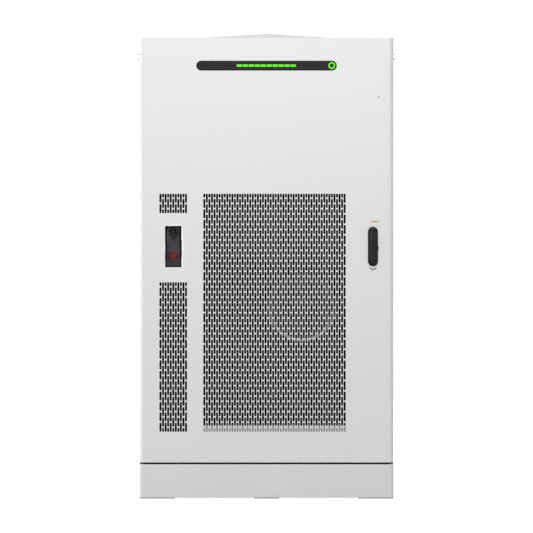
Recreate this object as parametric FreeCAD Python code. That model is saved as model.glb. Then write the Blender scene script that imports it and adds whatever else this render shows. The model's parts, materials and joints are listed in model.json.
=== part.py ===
import FreeCAD, Part
import math
import os

# Floor-standing battery storage cabinet with one full-height front door.
# X runs to the right seen from the front, Y to the back and Z up, all in millimetres.
# The origin lies on the floor under the middle of the cabinet's overall box.

# Outside of the cabinet
CABINET_WIDTH = 1100.0
CABINET_DEPTH = 1100.0
DOOR_RISE = 13.0
ROOF_HEADROOM = 84.0
ROOF_RISE = 75.0
ROOF_SKIRT = 30.0
PLINTH_TOP_Z = 150.0
DOOR_SEAM = 5.0
EDGE_RADIUS = 16.0
SHEET = 2.0
DOOR_THICKNESS = 45.0
DOOR_GAP = 5.0
RUNNING_GAP = 0.3
PIN_CLEARANCE = 0.05

# Feet, plinth and floor
FOOT_THICKNESS = 4.0
FOOT_LENGTH = 150.0
FOOT_INSET = 5.0
CORNER_FOOT_WIDTH = 152.0
MIDDLE_FOOT_WIDTH = 110.0
PLATE = 4.0
BASE_FLANGE = 60.0
CROSS_MEMBER = 60.0
ANCHOR_RADIUS = 9.0
ANCHOR_INSET_X = 77.0
ANCHOR_INSET_Y = 55.0
GLAND_COUNT = 6
GLAND_PITCH = 66.0
GLAND_SETBACK = 160.0
GLAND_BORE = 12.0
GLAND_THREAD = 20.0
GLAND_HEX = 26.0
GLAND_PLATE_THICKNESS = 3.0
GLAND_PLATE_SIZE = (440.0, 110.0)
GLAND_OPENING_MARGIN = 15.0
GLAND_PROFILE_TOP = 28.0
GLAND_PROFILE_BELOW = 22.0

# Welded body frame
FRAME_FACE = 60.0
FRAME_DEPTH = 40.0
FRAME_LIP = 14.0
LINTEL_HEIGHT = 28.0
SILL_HEIGHT = 36.0
RAIL_SIZE = 40.0
PANEL_PRESS_DEPTH = 3.0
PANEL_PRESS_INSET = 90.0
PANEL_PRESS_RADIUS = 30.0
VENT_SLOT = (210.0, 9.0)
VENT_PITCH = 22.0
VENT_ROWS = 14
VENT_CENTRES = ((-240.0, 560.0), (240.0, 1340.0))
LIFT_BOLT_BELOW = 58.0
LIFT_BOLT_INSET = 150.0
LIFT_BOLT_HEAD = 24.0
LIFT_BOLT_HEAD_HEIGHT = 10.0
LIFT_WASHER_RADIUS = 15.0
LIFT_WASHER_THICKNESS = 3.0
SEAL_WIDTH = 14.0
SEAL_INSET = 5.0

# Hinges on the left
HINGE_INSET = 11.0
HINGE_FROM_REAR = 18.0
HINGE_HEIGHTS = (330.0, 1075.0, 1800.0)
HINGE_PIN_RADIUS = 4.0
HINGE_EYE_RADIUS = 8.0
HINGE_ARM_HEIGHT = 36.0
HINGE_KNUCKLE_RADIUS = 7.0
HINGE_KNUCKLE_HEIGHT = 26.0
HINGE_BASE = (32.0, 64.0, 3.0)
HINGE_NOTCH_MARGIN = 6.0
HINGE_NOTCH_DEPTH = 33.0

# Door stiffening frame
DOOR_SIDE_GAP = 1.0
DOOR_FRAME_SETBACK = 21.0
DOOR_FRAME_MEMBER = 40.0
DOOR_FRAME_END_GAP = 20.0
DOOR_CROSS_HEIGHT = 40.0
DOOR_CROSS_DEPTH = 30.0
DOOR_CROSS_LOW_Z = 225.0
DOOR_CROSS_HIGH_Z = 1345.0

# Perforated fields, with fewer and longer slots than the sheet has
SLOT_WIDTH = 6.4
SLOT_BRIDGE = 6.6
COLUMN_PITCH = 11.04
GRILLE_LOW_Z = 289.0
GRILLE_HIGH_Z = 1318.5
MAIN_COLUMNS = 56
MAIN_FIRST_X = -269.0
MAIN_ROWS = 4
STRIP_COLUMNS = 11
STRIP_INSET = 90.3
STRIP_UPPER_LOW_Z = 1235.0
STRIP_UPPER_ROWS = 2
STRIP_LOWER_HIGH_Z = 936.4
STRIP_LOWER_ROWS = 2.5

# Display strip
DISPLAY_BELOW = 119.4
DISPLAY_LENGTH = 608.0
DISPLAY_HEIGHT = 42.0
DISPLAY_PROUD = 1.5
DISPLAY_RIM = 3.0
DISPLAY_RECESS = 1.0
DISPLAY_SPIGOT_INSET = 4.0
DISPLAY_BACK = 14.0
LIGHT_COUNT = 10
LIGHT_PITCH = 25.7
LIGHT_WIDTH = 23.3
LIGHT_HEIGHT = 12.5
LIGHT_DEPTH = 5.0
LIGHT_CENTRE_X = -2.0
RING_OUTER = 16.4
POWER_BUTTON_RADIUS = 8.2
POWER_BUTTON_LENGTH = 9.0

# Switch recess with emergency stop, selector and clear cover
POCKET_INSET = 145.5
POCKET_Z = 1090.5
POCKET_WIDTH = 70.6
POCKET_HEIGHT = 179.0
POCKET_DEPTH = 55.0
POCKET_WALL = 1.5
POCKET_FLANGE = 10.0
PEDESTAL_WIDTH = 53.0
PEDESTAL_HEIGHT = 164.0
PEDESTAL_FRONT = 37.0
STOP_BELOW = 39.9
STOP_COLLAR_RADIUS = 16.0
STOP_COLLAR_HEIGHT = 5.0
STOP_STEM_RADIUS = 9.0
STOP_STEM_BASE = 6.0
STOP_HEAD_RADIUS = 19.0
STOP_HEAD_HEIGHT = 13.0
STOP_HEAD_WAIST = 16.0
STOP_HEAD_RIM = 3.0
STOP_HEAD_CROWN = 12.0
STOP_HEAD_BEVEL = 4.0
STOP_HEAD_LIFT = 10.0
STOP_TRAVEL = 4.0
SELECTOR_ABOVE = 59.5
SELECTOR_COLLAR_RADIUS = 19.5
SELECTOR_COLLAR_HEIGHT = 5.0
SELECTOR_KNOB_RADIUS = 16.0
SELECTOR_KNOB_HEIGHT = 8.0
SELECTOR_GRIP_WIDTH = 12.0
SELECTOR_GRIP_REACH = 30.0
SELECTOR_GRIP_HEIGHT = 16.0
COVER_OVERLAP = 2.5
COVER_THICKNESS = 2.0
COVER_LIFT = 1.0
COVER_RIM = 3.0
COVER_TAB_WIDTH = 7.0
COVER_TAB_HEIGHT = 74.0
COVER_TAB_BELOW = 8.5
COVER_KNUCKLE_RADIUS = 3.0
COVER_KNUCKLE_HEIGHT = 40.0
COVER_LUG_HEIGHT = 12.0
COVER_PIN_RADIUS = 1.2
COVER_KNUCKLE_OFFSET = 52.0

# Swing handle with its key, and the lock behind it
LOCK_INSET = 88.6
LOCK_Z = 1091.3
LOCK_PLATE_WIDTH = 43.3
LOCK_PLATE_HEIGHT = 169.6
LOCK_PLATE_THICKNESS = 8.0
SPINDLE_FROM_TOP = 32.0
SPINDLE_RADIUS = 5.0
LEVER_WIDTH = 34.0
LEVER_THICKNESS = 12.0
LEVER_GAP = 0.4
LEVER_END_GAP = 6.0
LEVER_SIDE_GAP = 1.0
TONGUE_WIDTH = 12.0
TONGUE_RADIUS = 5.8
TONGUE_SLOT_REACH = 8.5
LEVER_PIN_RADIUS = 2.0
KEY_ABOVE = 2.7
KEY_RADIUS = 6.0
KEY_SLOT = (2.0, 7.0, 4.0)
RELEASE_ABOVE = 19.7
RELEASE_RADIUS = 4.5
RELEASE_DEPTH = 8.0
RELEASE_TRAVEL = 2.0
PINION_TEETH = 17
TOOTH_MODULE = 1.5
TOOTH_ADDENDUM = 1.1
TOOTH_DEDENDUM = 1.6
TOOTH_THINNING = 0.35
PINION_WIDTH = 6.0
LOCK_CASE_HALF_WIDTH = 23.0
LOCK_CASE_HALF_HEIGHT = 30.0
LOCK_CASE_DEPTH = 58.0
LOCK_CASE_WALL = 2.0
RACK_BAR = 5.0
RACK_HALF_LENGTH = 27.0
ROD_TRAVEL = 20.0
ROD_WIDTH = 12.0
ROD_THICKNESS = 5.0
ROD_BEHIND_DOOR = 3.0
ROD_END_GAP = 5.0
ROD_GUIDE_WALL = 3.0
ROD_GUIDE_HEIGHT = 24.0
ROD_GUIDE_CLEARANCE = 0.3
KEEPER_WALL = 3.0
KEEPER_CLEARANCE = 3.0
KEEPER_LENGTH = 24.0

# Climate unit on the back of the door
CLIMATE_LEFT_X = -285.0
CLIMATE_RIGHT_X = 355.0
CLIMATE_LOW_Z = 250.0
CLIMATE_HIGH_Z = 1370.0
CLIMATE_DEPTH = 210.0
CLIMATE_BULKHEAD = 85.0
CLIMATE_VENT_ROWS = 4
CLIMATE_VENT_MARGIN = 102.0
FAN_X = 151.0
FAN_Z = 825.0
FAN_RADIUS = 134.0
FAN_HOLE_CLEARANCE = 6.0
FAN_HUB_RADIUS = 46.0
FAN_HUB_LENGTH = 34.0
FAN_SETBACK = 6.0
FAN_BLADES = 5
FAN_MOTOR_SHARE = 0.9
BLADE_PITCH = 32.0
BLADE_ROOT_CHORD = 0.7
BLADE_TIP_CHORD = 0.95
BLADE_CAMBER = 0.09
BLADE_THICKNESS = 0.035
COIL_MARGIN = 26.0
COIL_LOW_Z = 1010.0
COIL_THICKNESS = 44.0
COIL_FINS = 14
COIL_FIN_DEPTH = 8.0

# Equipment rack and what stands in it
RACK_SIDE_GAP = 10.0
RACK_FRONT_GAP = 50.0
AIR_DUCT_DEPTH = 108.0
RACK_HEADROOM = 8.0
UPRIGHT = 28.0
UPRIGHT_WALL = 3.0
RACK_MIDDLE = 8.0
MODULE_COUNT = 6
MODULE_HEIGHT = 246.0
MODULE_GAP = 14.0
MODULE_FIRST_Z = 178.0
MODULE_SIDE_GAP = 2.0
MODULE_FRONT_FLANGE = 6.0
MODULE_CHAMFER = 4.0
RUNNER_LEG = 22.0
RUNNER_THICKNESS = 3.0
TERMINAL_RADIUS = 17.0
TERMINAL_HEIGHT = 16.0
TERMINAL_INSET = 70.0
PULL_HALF_HEIGHT = 45.0
PULL_BAR = 9.0
PULL_REACH = 15.0
PULL_INSET = 135.0
LINK_WIDTH = 24.0
LINK_THICKNESS = 7.0
HIGH_BOX_HEIGHT = 150.0
INVERTER_HEIGHT = 640.0
INVERTER_DEPTH = 560.0
INVERTER_FINS = 12
INVERTER_FAN_RADIUS = 62.0
INVERTER_FAN_HUB = 20.0
INVERTER_FAN_LENGTH = 22.0
INVERTER_FAN_OFFSET = 92.0
INVERTER_FAN_DROP = 210.0
INVERTER_HEADROOM = 60.0
BREAKER_HEADROOM = 100.0
CONTROL_BELOW = 136.0
SHELF_THICKNESS = 3.0
SHELF_LIP = 14.0
BREAKER_SIZE = (380.0, 150.0, 320.0)
TOGGLE_SIZE = (26.0, 12.0, 34.0)
TOGGLE_PIVOT_RADIUS = 8.0
TOGGLE_WINDOW = (30.0, 64.0, 26.0)
TOGGLE_LEAN = 28.0
CONTROL_SIZE = (360.0, 220.0, 110.0)
CONTROL_GROOVES = 6
CONTROL_GROOVE_PITCH = 6.0
CONTROL_GROOVE_START = 20.0
ISOLATOR_RADIUS = 26.0
ISOLATOR_HEIGHT = 12.0
ISOLATOR_GRIP = (12.0, 14.0)
CANISTER_RADIUS = 62.0
CANISTER_HEIGHT = 330.0
CANISTER_FROM_MIDDLE = 160.0
CANISTER_SETBACK = 190.0
CANISTER_SHOULDER = 25.0
CANISTER_NECK_RADIUS = 21.0
CANISTER_NOZZLE_RADIUS = 10.0
DETECTOR_RADIUS = 50.0
DETECTOR_HEIGHT = 34.0
DETECTOR_DOME_RADIUS = 45.0
DETECTOR_TIP_RADIUS = 27.0
EARTH_BAR_SIZE = (200.0, 6.0, 26.0)
EARTH_BAR_SETBACK = 80.0
EARTH_STANDOFF = 14.0
EARTH_HOLES = 6
EARTH_HOLE_RADIUS = 4.0

# Places worked out from the sizes above
HANDLE_PROUD = LOCK_PLATE_THICKNESS + LEVER_GAP + LEVER_THICKNESS
OVERALL_DEPTH = CABINET_DEPTH + HANDLE_PROUD
FACE_Y = HANDLE_PROUD - OVERALL_DEPTH / 2
REAR_Y = OVERALL_DEPTH / 2
DOOR_REAR_Y = FACE_Y + DOOR_THICKNESS
BODY_Y = DOOR_REAR_Y + DOOR_GAP
MODULE_PITCH = MODULE_HEIGHT + MODULE_GAP
MODULE_TOP_Z = MODULE_FIRST_Z + MODULE_PITCH * MODULE_COUNT
RACK_TOP_Z = MODULE_TOP_Z + HIGH_BOX_HEIGHT + RACK_HEADROOM
CONTROL_SHELF_Z = RACK_TOP_Z - CONTROL_BELOW
INVERTER_SHELF_Z = CONTROL_SHELF_Z - INVERTER_HEADROOM - INVERTER_HEIGHT
BREAKER_SHELF_Z = INVERTER_SHELF_Z - BREAKER_HEADROOM - BREAKER_SIZE[2]
EAVES_Z = RACK_TOP_Z + ROOF_HEADROOM
DOOR_TOP_Z = EAVES_Z + DOOR_RISE
LIFT_BOLT_Z = EAVES_Z - LIFT_BOLT_BELOW
DISPLAY_Z = DOOR_TOP_Z - DISPLAY_BELOW
HALF_WIDTH = CABINET_WIDTH / 2
FRAME_HALF = HALF_WIDTH - SHEET
OPENING_HALF = FRAME_HALF - FRAME_FACE
FRAME_TOP_Z = EAVES_Z - SHEET
OPENING_TOP_Z = FRAME_TOP_Z - LINTEL_HEIGHT
OPENING_LOW_Z = PLINTH_TOP_Z + SILL_HEIGHT
FLOOR_Z = PLINTH_TOP_Z + SHEET
DOOR_HALF = HALF_WIDTH - DOOR_SIDE_GAP
DOOR_LOW_Z = PLINTH_TOP_Z + DOOR_SEAM
SKIRT_LOW_Z = EAVES_Z - ROOF_SKIRT
FRAME_REAR_Y = REAR_Y - SHEET
HINGE_X = -DOOR_HALF + HINGE_INSET
HINGE_Y = DOOR_REAR_Y - HINGE_FROM_REAR
DOOR_FRAME_OUTER = DOOR_HALF - DOOR_FRAME_SETBACK
DOOR_FRAME_INNER = DOOR_FRAME_OUTER - DOOR_FRAME_MEMBER
STRIP_FIRST_X = -DOOR_HALF + STRIP_INSET
LOCK_X = DOOR_HALF - LOCK_INSET
KEY_Z = LOCK_Z + KEY_ABOVE
RELEASE_Z = LOCK_Z + RELEASE_ABOVE
POCKET_X = -DOOR_HALF + POCKET_INSET
STOP_Z = POCKET_Z - STOP_BELOW
SELECTOR_Z = POCKET_Z + SELECTOR_ABOVE
COVER_TAB_Z = POCKET_Z - COVER_TAB_BELOW
SPINDLE_Z = LOCK_Z + LOCK_PLATE_HEIGHT / 2 - SPINDLE_FROM_TOP
PLATE_FRONT_Y = FACE_Y - LOCK_PLATE_THICKNESS
LEVER_REAR_Y = PLATE_FRONT_Y - LEVER_GAP
LEVER_FRONT_Y = LEVER_REAR_Y - LEVER_THICKNESS
LEVER_PIVOT_Y = (LEVER_REAR_Y + LEVER_FRONT_Y) / 2
LEVER_LOW_Z = LOCK_Z - LOCK_PLATE_HEIGHT / 2 + LEVER_END_GAP
PITCH_RADIUS = PINION_TEETH * TOOTH_MODULE / 2
TOOTH_PITCH = math.pi * TOOTH_MODULE
ROD_Y = DOOR_REAR_Y + ROD_BEHIND_DOOR
ROD_TOP_Z = OPENING_TOP_Z - ROD_END_GAP
ROD_LOW_Z = OPENING_LOW_Z + ROD_END_GAP
RING_X = (DISPLAY_LENGTH - DISPLAY_HEIGHT) / 2
RING_INNER = POWER_BUTTON_RADIUS + RUNNING_GAP
PEDESTAL_Y = FACE_Y + PEDESTAL_FRONT
COVER_REAR_Y = FACE_Y - COVER_LIFT
COVER_LEFT_X = POCKET_X - POCKET_WIDTH / 2 - COVER_OVERLAP
COVER_RIGHT_X = POCKET_X + POCKET_WIDTH / 2 + COVER_OVERLAP
COVER_HINGE_X = COVER_LEFT_X - COVER_KNUCKLE_RADIUS - RUNNING_GAP
COVER_HINGE_Y = FACE_Y - COVER_KNUCKLE_RADIUS - RUNNING_GAP
CLIMATE_Y = FACE_Y + DOOR_CROSS_DEPTH
CLIMATE_REAR_Y = CLIMATE_Y + CLIMATE_DEPTH
BULKHEAD_Y = CLIMATE_Y + CLIMATE_BULKHEAD
FAN_Y = CLIMATE_Y + SHEET + FAN_SETBACK
RACK_HALF_WIDTH = OPENING_HALF - RACK_SIDE_GAP
RACK_FRONT_Y = CLIMATE_REAR_Y + RACK_FRONT_GAP
RACK_REAR_Y = FRAME_REAR_Y - AIR_DUCT_DEPTH
RACK_DEPTH = RACK_REAR_Y - RACK_FRONT_Y
EQUIPMENT_FRONT_Y = RACK_FRONT_Y + 2 * UPRIGHT_WALL + UPRIGHT
GLAND_X = RACK_HALF_WIDTH / 2
GLAND_Y = BODY_Y + GLAND_SETBACK
EARTH_BAR_Y = BODY_Y + EARTH_BAR_SETBACK
BAY_LEFT_X = -RACK_HALF_WIDTH + UPRIGHT_WALL + MODULE_SIDE_GAP
BAY_RIGHT_X = -RACK_MIDDLE - UPRIGHT_WALL - MODULE_SIDE_GAP
EAST_BAY_LEFT_X = RACK_MIDDLE + UPRIGHT_WALL + MODULE_SIDE_GAP
EAST_BAY_RIGHT_X = RACK_HALF_WIDTH - UPRIGHT_WALL - MODULE_SIDE_GAP
EAST_BAY_X = (EAST_BAY_LEFT_X + EAST_BAY_RIGHT_X) / 2
MODULE_FRONT_Y = RACK_FRONT_Y - MODULE_FRONT_FLANGE


def box(x0, x1, y0, y1, z0, z1):
    """Block between two corners."""
    corner = FreeCAD.Vector(x0, y0, z0)
    return Part.makeBox(x1 - x0, y1 - y0, z1 - z0, corner)


def cylinder(radius, length, start, direction):
    """Round bar from a start point along a direction."""
    return Part.makeCylinder(radius, length, FreeCAD.Vector(*start), FreeCAD.Vector(*direction))


def tube(outer, inner, length, start, direction):
    """Round ring from a start point along a direction."""
    return cylinder(outer, length, start, direction).cut(cylinder(inner, length, start, direction))


def fuse(first, *others):
    """One solid from pieces that are welded or moulded together."""
    return first.multiFuse(list(others)).removeSplitter()


def polygon_wire(points):
    """Closed outline through points."""
    corners = [FreeCAD.Vector(*point) for point in points]
    return Part.makePolygon(corners + corners[:1])


def prism(points, direction):
    """Solid swept from a flat outline."""
    return Part.Face(polygon_wire(points)).extrude(FreeCAD.Vector(*direction))


def tapered(lower, upper):
    """Flat-faced solid between two outlines with parallel sides."""
    count = len(lower)
    faces = [Part.Face(polygon_wire(lower)), Part.Face(polygon_wire(upper))]
    for index in range(count):
        after = (index + 1) % count
        faces.append(Part.Face(polygon_wire([lower[index], lower[after], upper[after], upper[index]])))
    return Part.Solid(Part.Shell(faces))


def arc(start, middle, end):
    """Edge that bends through three points."""
    return Part.Arc(FreeCAD.Vector(*start), FreeCAD.Vector(*middle), FreeCAD.Vector(*end)).toShape()


def line(start, end):
    """Straight edge between two points."""
    return Part.makeLine(FreeCAD.Vector(*start), FreeCAD.Vector(*end))


def obround(width, height, x, z, y0, y1):
    """Block with round ends, lying in the face of the door, from y0 back to y1."""
    radius = min(width, height) / 2
    half_x = width / 2 - radius
    half_z = height / 2 - radius
    if height > width:
        edges = [
            arc((x - radius, y0, z - half_z), (x, y0, z - height / 2), (x + radius, y0, z - half_z)),
            line((x + radius, y0, z - half_z), (x + radius, y0, z + half_z)),
            arc((x + radius, y0, z + half_z), (x, y0, z + height / 2), (x - radius, y0, z + half_z)),
            line((x - radius, y0, z + half_z), (x - radius, y0, z - half_z)),
        ]
    else:
        edges = [
            line((x - half_x, y0, z - radius), (x + half_x, y0, z - radius)),
            arc((x + half_x, y0, z - radius), (x + width / 2, y0, z), (x + half_x, y0, z + radius)),
            line((x + half_x, y0, z + radius), (x - half_x, y0, z + radius)),
            arc((x - half_x, y0, z + radius), (x - width / 2, y0, z), (x - half_x, y0, z - radius)),
        ]
    return Part.Face(Part.Wire(edges)).extrude(FreeCAD.Vector(0, y1 - y0, 0))


def turned(outline, axis):
    """Solid of revolution from half an outline beside the axis."""
    return Part.Face(polygon_wire(outline)).revolve(FreeCAD.Vector(0, 0, 0), FreeCAD.Vector(*axis), 360)


def edges_on_plane(shape, axis, value):
    """Edges that lie wholly on one plane across an axis."""
    def on_plane(edge):
        low = getattr(edge.BoundBox, axis + "Min")
        high = getattr(edge.BoundBox, axis + "Max")
        return abs(low - value) < 1e-4 and abs(high - value) < 1e-4
    return [edge for edge in shape.Edges if on_plane(edge)]


def edges_along_y(shape):
    """Straight edges that run from front to back."""
    def runs_back(edge):
        limits = edge.BoundBox
        return limits.XLength < 1e-6 and limits.ZLength < 1e-6
    return [edge for edge in shape.Edges if runs_back(edge)]


def rounded_block(x0, x1, y0, y1, z0, z1, radius):
    """Block whose four corners in the front view are round."""
    block = box(x0, x1, y0, y1, z0, z1)
    return block.makeFillet(radius, edges_along_y(block))


def rounded_front_block(half, y0, y1, z0, z1, radius):
    """Block with two round vertical edges at its front."""
    inset = radius * (1 - math.sqrt(0.5))
    edges = [
        line((-half, y1, z0), (-half, y0 + radius, z0)),
        arc((-half, y0 + radius, z0), (-half + inset, y0 + inset, z0), (-half + radius, y0, z0)),
        line((-half + radius, y0, z0), (half - radius, y0, z0)),
        arc((half - radius, y0, z0), (half - inset, y0 + inset, z0), (half, y0 + radius, z0)),
        line((half, y0 + radius, z0), (half, y1, z0)),
        line((half, y1, z0), (-half, y1, z0)),
    ]
    return Part.Face(Part.Wire(edges)).extrude(FreeCAD.Vector(0, 0, z1 - z0))


def hexagon(flat_radius, length, start, direction):
    """Hexagonal bar along X or Z, with its flats at flat_radius."""
    corner_radius = flat_radius / math.cos(math.pi / 6)
    points = []
    for index in range(6):
        across = corner_radius * math.cos(index * math.pi / 3)
        up = corner_radius * math.sin(index * math.pi / 3)
        if direction[0]:
            points.append((start[0], start[1] + across, start[2] + up))
        else:
            points.append((start[0] + across, start[1] + up, start[2]))
    return prism(points, [length * part for part in direction])


def channel_ring(half, inner_half, z_low, z_high, inner_low, inner_high, y0, y1, web_at_front):
    """Rectangular ring of folded channel, with its web at one side and two walls round it."""
    ring = box(-half, half, y0, y1, z_low, z_high)
    ring = ring.cut(box(-inner_half, inner_half, y0, y1, inner_low, inner_high))
    groove = box(-half + SHEET, half - SHEET, y0, y1, z_low + SHEET, z_high - SHEET)
    groove = groove.cut(
        box(-inner_half - SHEET, inner_half + SHEET, y0, y1, inner_low - SHEET, inner_high + SHEET)
    )
    shift = SHEET if web_at_front else -SHEET
    groove.translate(FreeCAD.Vector(0, shift, 0))
    return ring.cut(groove)


def solids_of(pieces):
    """Loose pieces of one kind, kept as separate solids."""
    return Part.Compound(pieces)


# Feet, plinth and floor


def foot_rows():
    """Left and right end of each foot, and the front of each row of feet."""
    edge = HALF_WIDTH - DOOR_SIDE_GAP
    spans = [
        (-edge, -edge + CORNER_FOOT_WIDTH),
        (-MIDDLE_FOOT_WIDTH / 2, MIDDLE_FOOT_WIDTH / 2),
        (edge - CORNER_FOOT_WIDTH, edge),
    ]
    rows = (FACE_Y + FOOT_INSET, REAR_Y - FOOT_INSET - FOOT_LENGTH)
    return spans, rows


def anchor_points():
    """Centres of the four floor anchor holes."""
    x = HALF_WIDTH - ANCHOR_INSET_X
    return [(side * x, y) for side in (-1, 1) for y in (BODY_Y + ANCHOR_INSET_Y, REAR_Y - ANCHOR_INSET_Y)]


def anchor_holes(z_low, z_high):
    """Round holes for the floor anchors."""
    return [cylinder(ANCHOR_RADIUS, z_high - z_low, (x, y, z_low), (0, 0, 1)) for x, y in anchor_points()]


def make_foot_pads():
    """Six flat pads that the plinth stands on."""
    spans, rows = foot_rows()
    pads = [box(x0, x1, y, y + FOOT_LENGTH, 0, FOOT_THICKNESS) for x0, x1 in spans for y in rows]
    return solids_of(pads).cut(solids_of(anchor_holes(0, FOOT_THICKNESS)))


def base_side(side):
    """Channel along one side of the base, with its open side inwards."""
    outer = side * HALF_WIDTH
    inner = side * (HALF_WIDTH - BASE_FLANGE)
    z0 = FOOT_THICKNESS
    z1 = PLINTH_TOP_Z
    points = [
        (outer, BODY_Y, z0),
        (inner, BODY_Y, z0),
        (inner, BODY_Y, z0 + PLATE),
        (outer - side * PLATE, BODY_Y, z0 + PLATE),
        (outer - side * PLATE, BODY_Y, z1 - PLATE),
        (inner, BODY_Y, z1 - PLATE),
        (inner, BODY_Y, z1),
        (outer, BODY_Y, z1),
    ]
    return prism(points, (0, REAR_Y - BODY_Y, 0))


def base_end(web_y, inward):
    """Channel across the front or back of the base, between the side channels."""
    z0 = FOOT_THICKNESS
    z1 = PLINTH_TOP_Z
    flange_y = web_y + inward * BASE_FLANGE
    wall_y = web_y + inward * PLATE
    half = HALF_WIDTH - BASE_FLANGE
    points = [
        (-half, web_y, z0),
        (-half, flange_y, z0),
        (-half, flange_y, z0 + PLATE),
        (-half, wall_y, z0 + PLATE),
        (-half, wall_y, z1 - PLATE),
        (-half, flange_y, z1 - PLATE),
        (-half, flange_y, z1),
        (-half, web_y, z1),
    ]
    return prism(points, (2 * half, 0, 0))


def base_cross():
    """Middle cross member of the base, open below."""
    middle_y = (BODY_Y + REAR_Y) / 2
    half = HALF_WIDTH - BASE_FLANGE
    y0 = middle_y - CROSS_MEMBER / 2
    y1 = middle_y + CROSS_MEMBER / 2
    cross = box(-half, half, y0, y1, FOOT_THICKNESS, PLINTH_TOP_Z)
    return cross.cut(box(-half, half, y0 + PLATE, y1 - PLATE, FOOT_THICKNESS, PLINTH_TOP_Z - PLATE))


def make_base_frame():
    """Base of five butted channels with an anchor plate on the flanges in each corner."""
    members = [base_side(-1), base_side(1), base_end(BODY_Y, 1), base_end(REAR_Y, -1), base_cross()]
    reach_y = 2 * ANCHOR_INSET_Y
    z0 = FOOT_THICKNESS + PLATE
    for side in (-1, 1):
        outer = side * (HALF_WIDTH - PLATE)
        inner = side * (HALF_WIDTH - CORNER_FOOT_WIDTH)
        for y0 in (BODY_Y + PLATE, REAR_Y - PLATE - reach_y):
            members.append(box(min(outer, inner), max(outer, inner), y0, y0 + reach_y, z0, z0 + PLATE))
    return solids_of(members).cut(solids_of(anchor_holes(FOOT_THICKNESS, z0 + PLATE)))


def make_plinth_cover():
    """Folded front cover of the plinth, with the same round edges as the door."""
    outer = rounded_front_block(HALF_WIDTH, FACE_Y, BODY_Y, FOOT_THICKNESS, PLINTH_TOP_Z, EDGE_RADIUS)
    inner = rounded_front_block(
        HALF_WIDTH - SHEET,
        FACE_Y + SHEET,
        BODY_Y,
        FOOT_THICKNESS,
        PLINTH_TOP_Z - SHEET,
        EDGE_RADIUS - SHEET,
    )
    return outer.cut(inner)


def gland_positions():
    """Centres of the cable glands, in one row."""
    first = GLAND_X - GLAND_PITCH * (GLAND_COUNT - 1) / 2
    return [(first + GLAND_PITCH * index, GLAND_Y) for index in range(GLAND_COUNT)]


def make_floor_plate():
    """Cabinet floor with one cable opening."""
    half = FRAME_HALF - RAIL_SIZE
    plate = box(-half, half, BODY_Y + FRAME_DEPTH, FRAME_REAR_Y - FRAME_DEPTH, PLINTH_TOP_Z, FLOOR_Z)
    half_x = GLAND_PLATE_SIZE[0] / 2 - GLAND_OPENING_MARGIN
    half_y = GLAND_PLATE_SIZE[1] / 2 - GLAND_OPENING_MARGIN
    opening = box(
        GLAND_X - half_x, GLAND_X + half_x, GLAND_Y - half_y, GLAND_Y + half_y, PLINTH_TOP_Z, FLOOR_Z
    )
    return plate.cut(opening)


def make_gland_plate():
    """Plate over the cable opening, drilled for the glands."""
    half_x = GLAND_PLATE_SIZE[0] / 2
    half_y = GLAND_PLATE_SIZE[1] / 2
    top = FLOOR_Z + GLAND_PLATE_THICKNESS
    plate = box(GLAND_X - half_x, GLAND_X + half_x, GLAND_Y - half_y, GLAND_Y + half_y, FLOOR_Z, top)
    holes = [cylinder(GLAND_THREAD, top - FLOOR_Z, (x, y, FLOOR_Z), (0, 0, 1)) for x, y in gland_positions()]
    return plate.cut(solids_of(holes))


def make_cable_gland(x, y):
    """One gland: hexagon above the plate, round cap over it and lock nut below."""
    top = FLOOR_Z + GLAND_PLATE_THICKNESS
    nut_thickness = GLAND_PROFILE_BELOW / 3
    body = hexagon(GLAND_HEX, GLAND_PROFILE_TOP / 2, (x, y, top), (0, 0, 1))
    cap = cylinder(GLAND_HEX - SHEET, GLAND_PROFILE_TOP / 2, (x, y, top + GLAND_PROFILE_TOP / 2), (0, 0, 1))
    thread_start = (x, y, FLOOR_Z - GLAND_PROFILE_BELOW)
    thread = cylinder(GLAND_THREAD, top - FLOOR_Z + GLAND_PROFILE_BELOW, thread_start, (0, 0, 1))
    nut = hexagon(GLAND_HEX, nut_thickness, (x, y, FLOOR_Z - nut_thickness), (0, 0, 1))
    length = GLAND_PROFILE_BELOW + GLAND_PLATE_THICKNESS + GLAND_PROFILE_TOP
    bore = cylinder(GLAND_BORE, length, (x, y, FLOOR_Z - GLAND_PROFILE_BELOW), (0, 0, 1))
    return fuse(body, cap, thread, nut).cut(bore)


def make_cable_glands():
    """Row of equal cable glands."""
    return solids_of([make_cable_gland(x, y) for x, y in gland_positions()])


# Body frame, panels and roof


def make_front_frame():
    """Ring of folded channel round the door opening."""
    return channel_ring(
        FRAME_HALF,
        OPENING_HALF,
        PLINTH_TOP_Z,
        FRAME_TOP_Z,
        OPENING_LOW_Z,
        OPENING_TOP_Z,
        BODY_Y,
        BODY_Y + FRAME_DEPTH,
        True,
    )


def make_rear_frame():
    """Ring of folded channel behind the rear panel's edge."""
    return channel_ring(
        FRAME_HALF,
        OPENING_HALF,
        PLINTH_TOP_Z,
        FRAME_TOP_Z,
        OPENING_LOW_Z,
        OPENING_TOP_Z,
        FRAME_REAR_Y - FRAME_DEPTH,
        FRAME_REAR_Y,
        False,
    )


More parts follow.
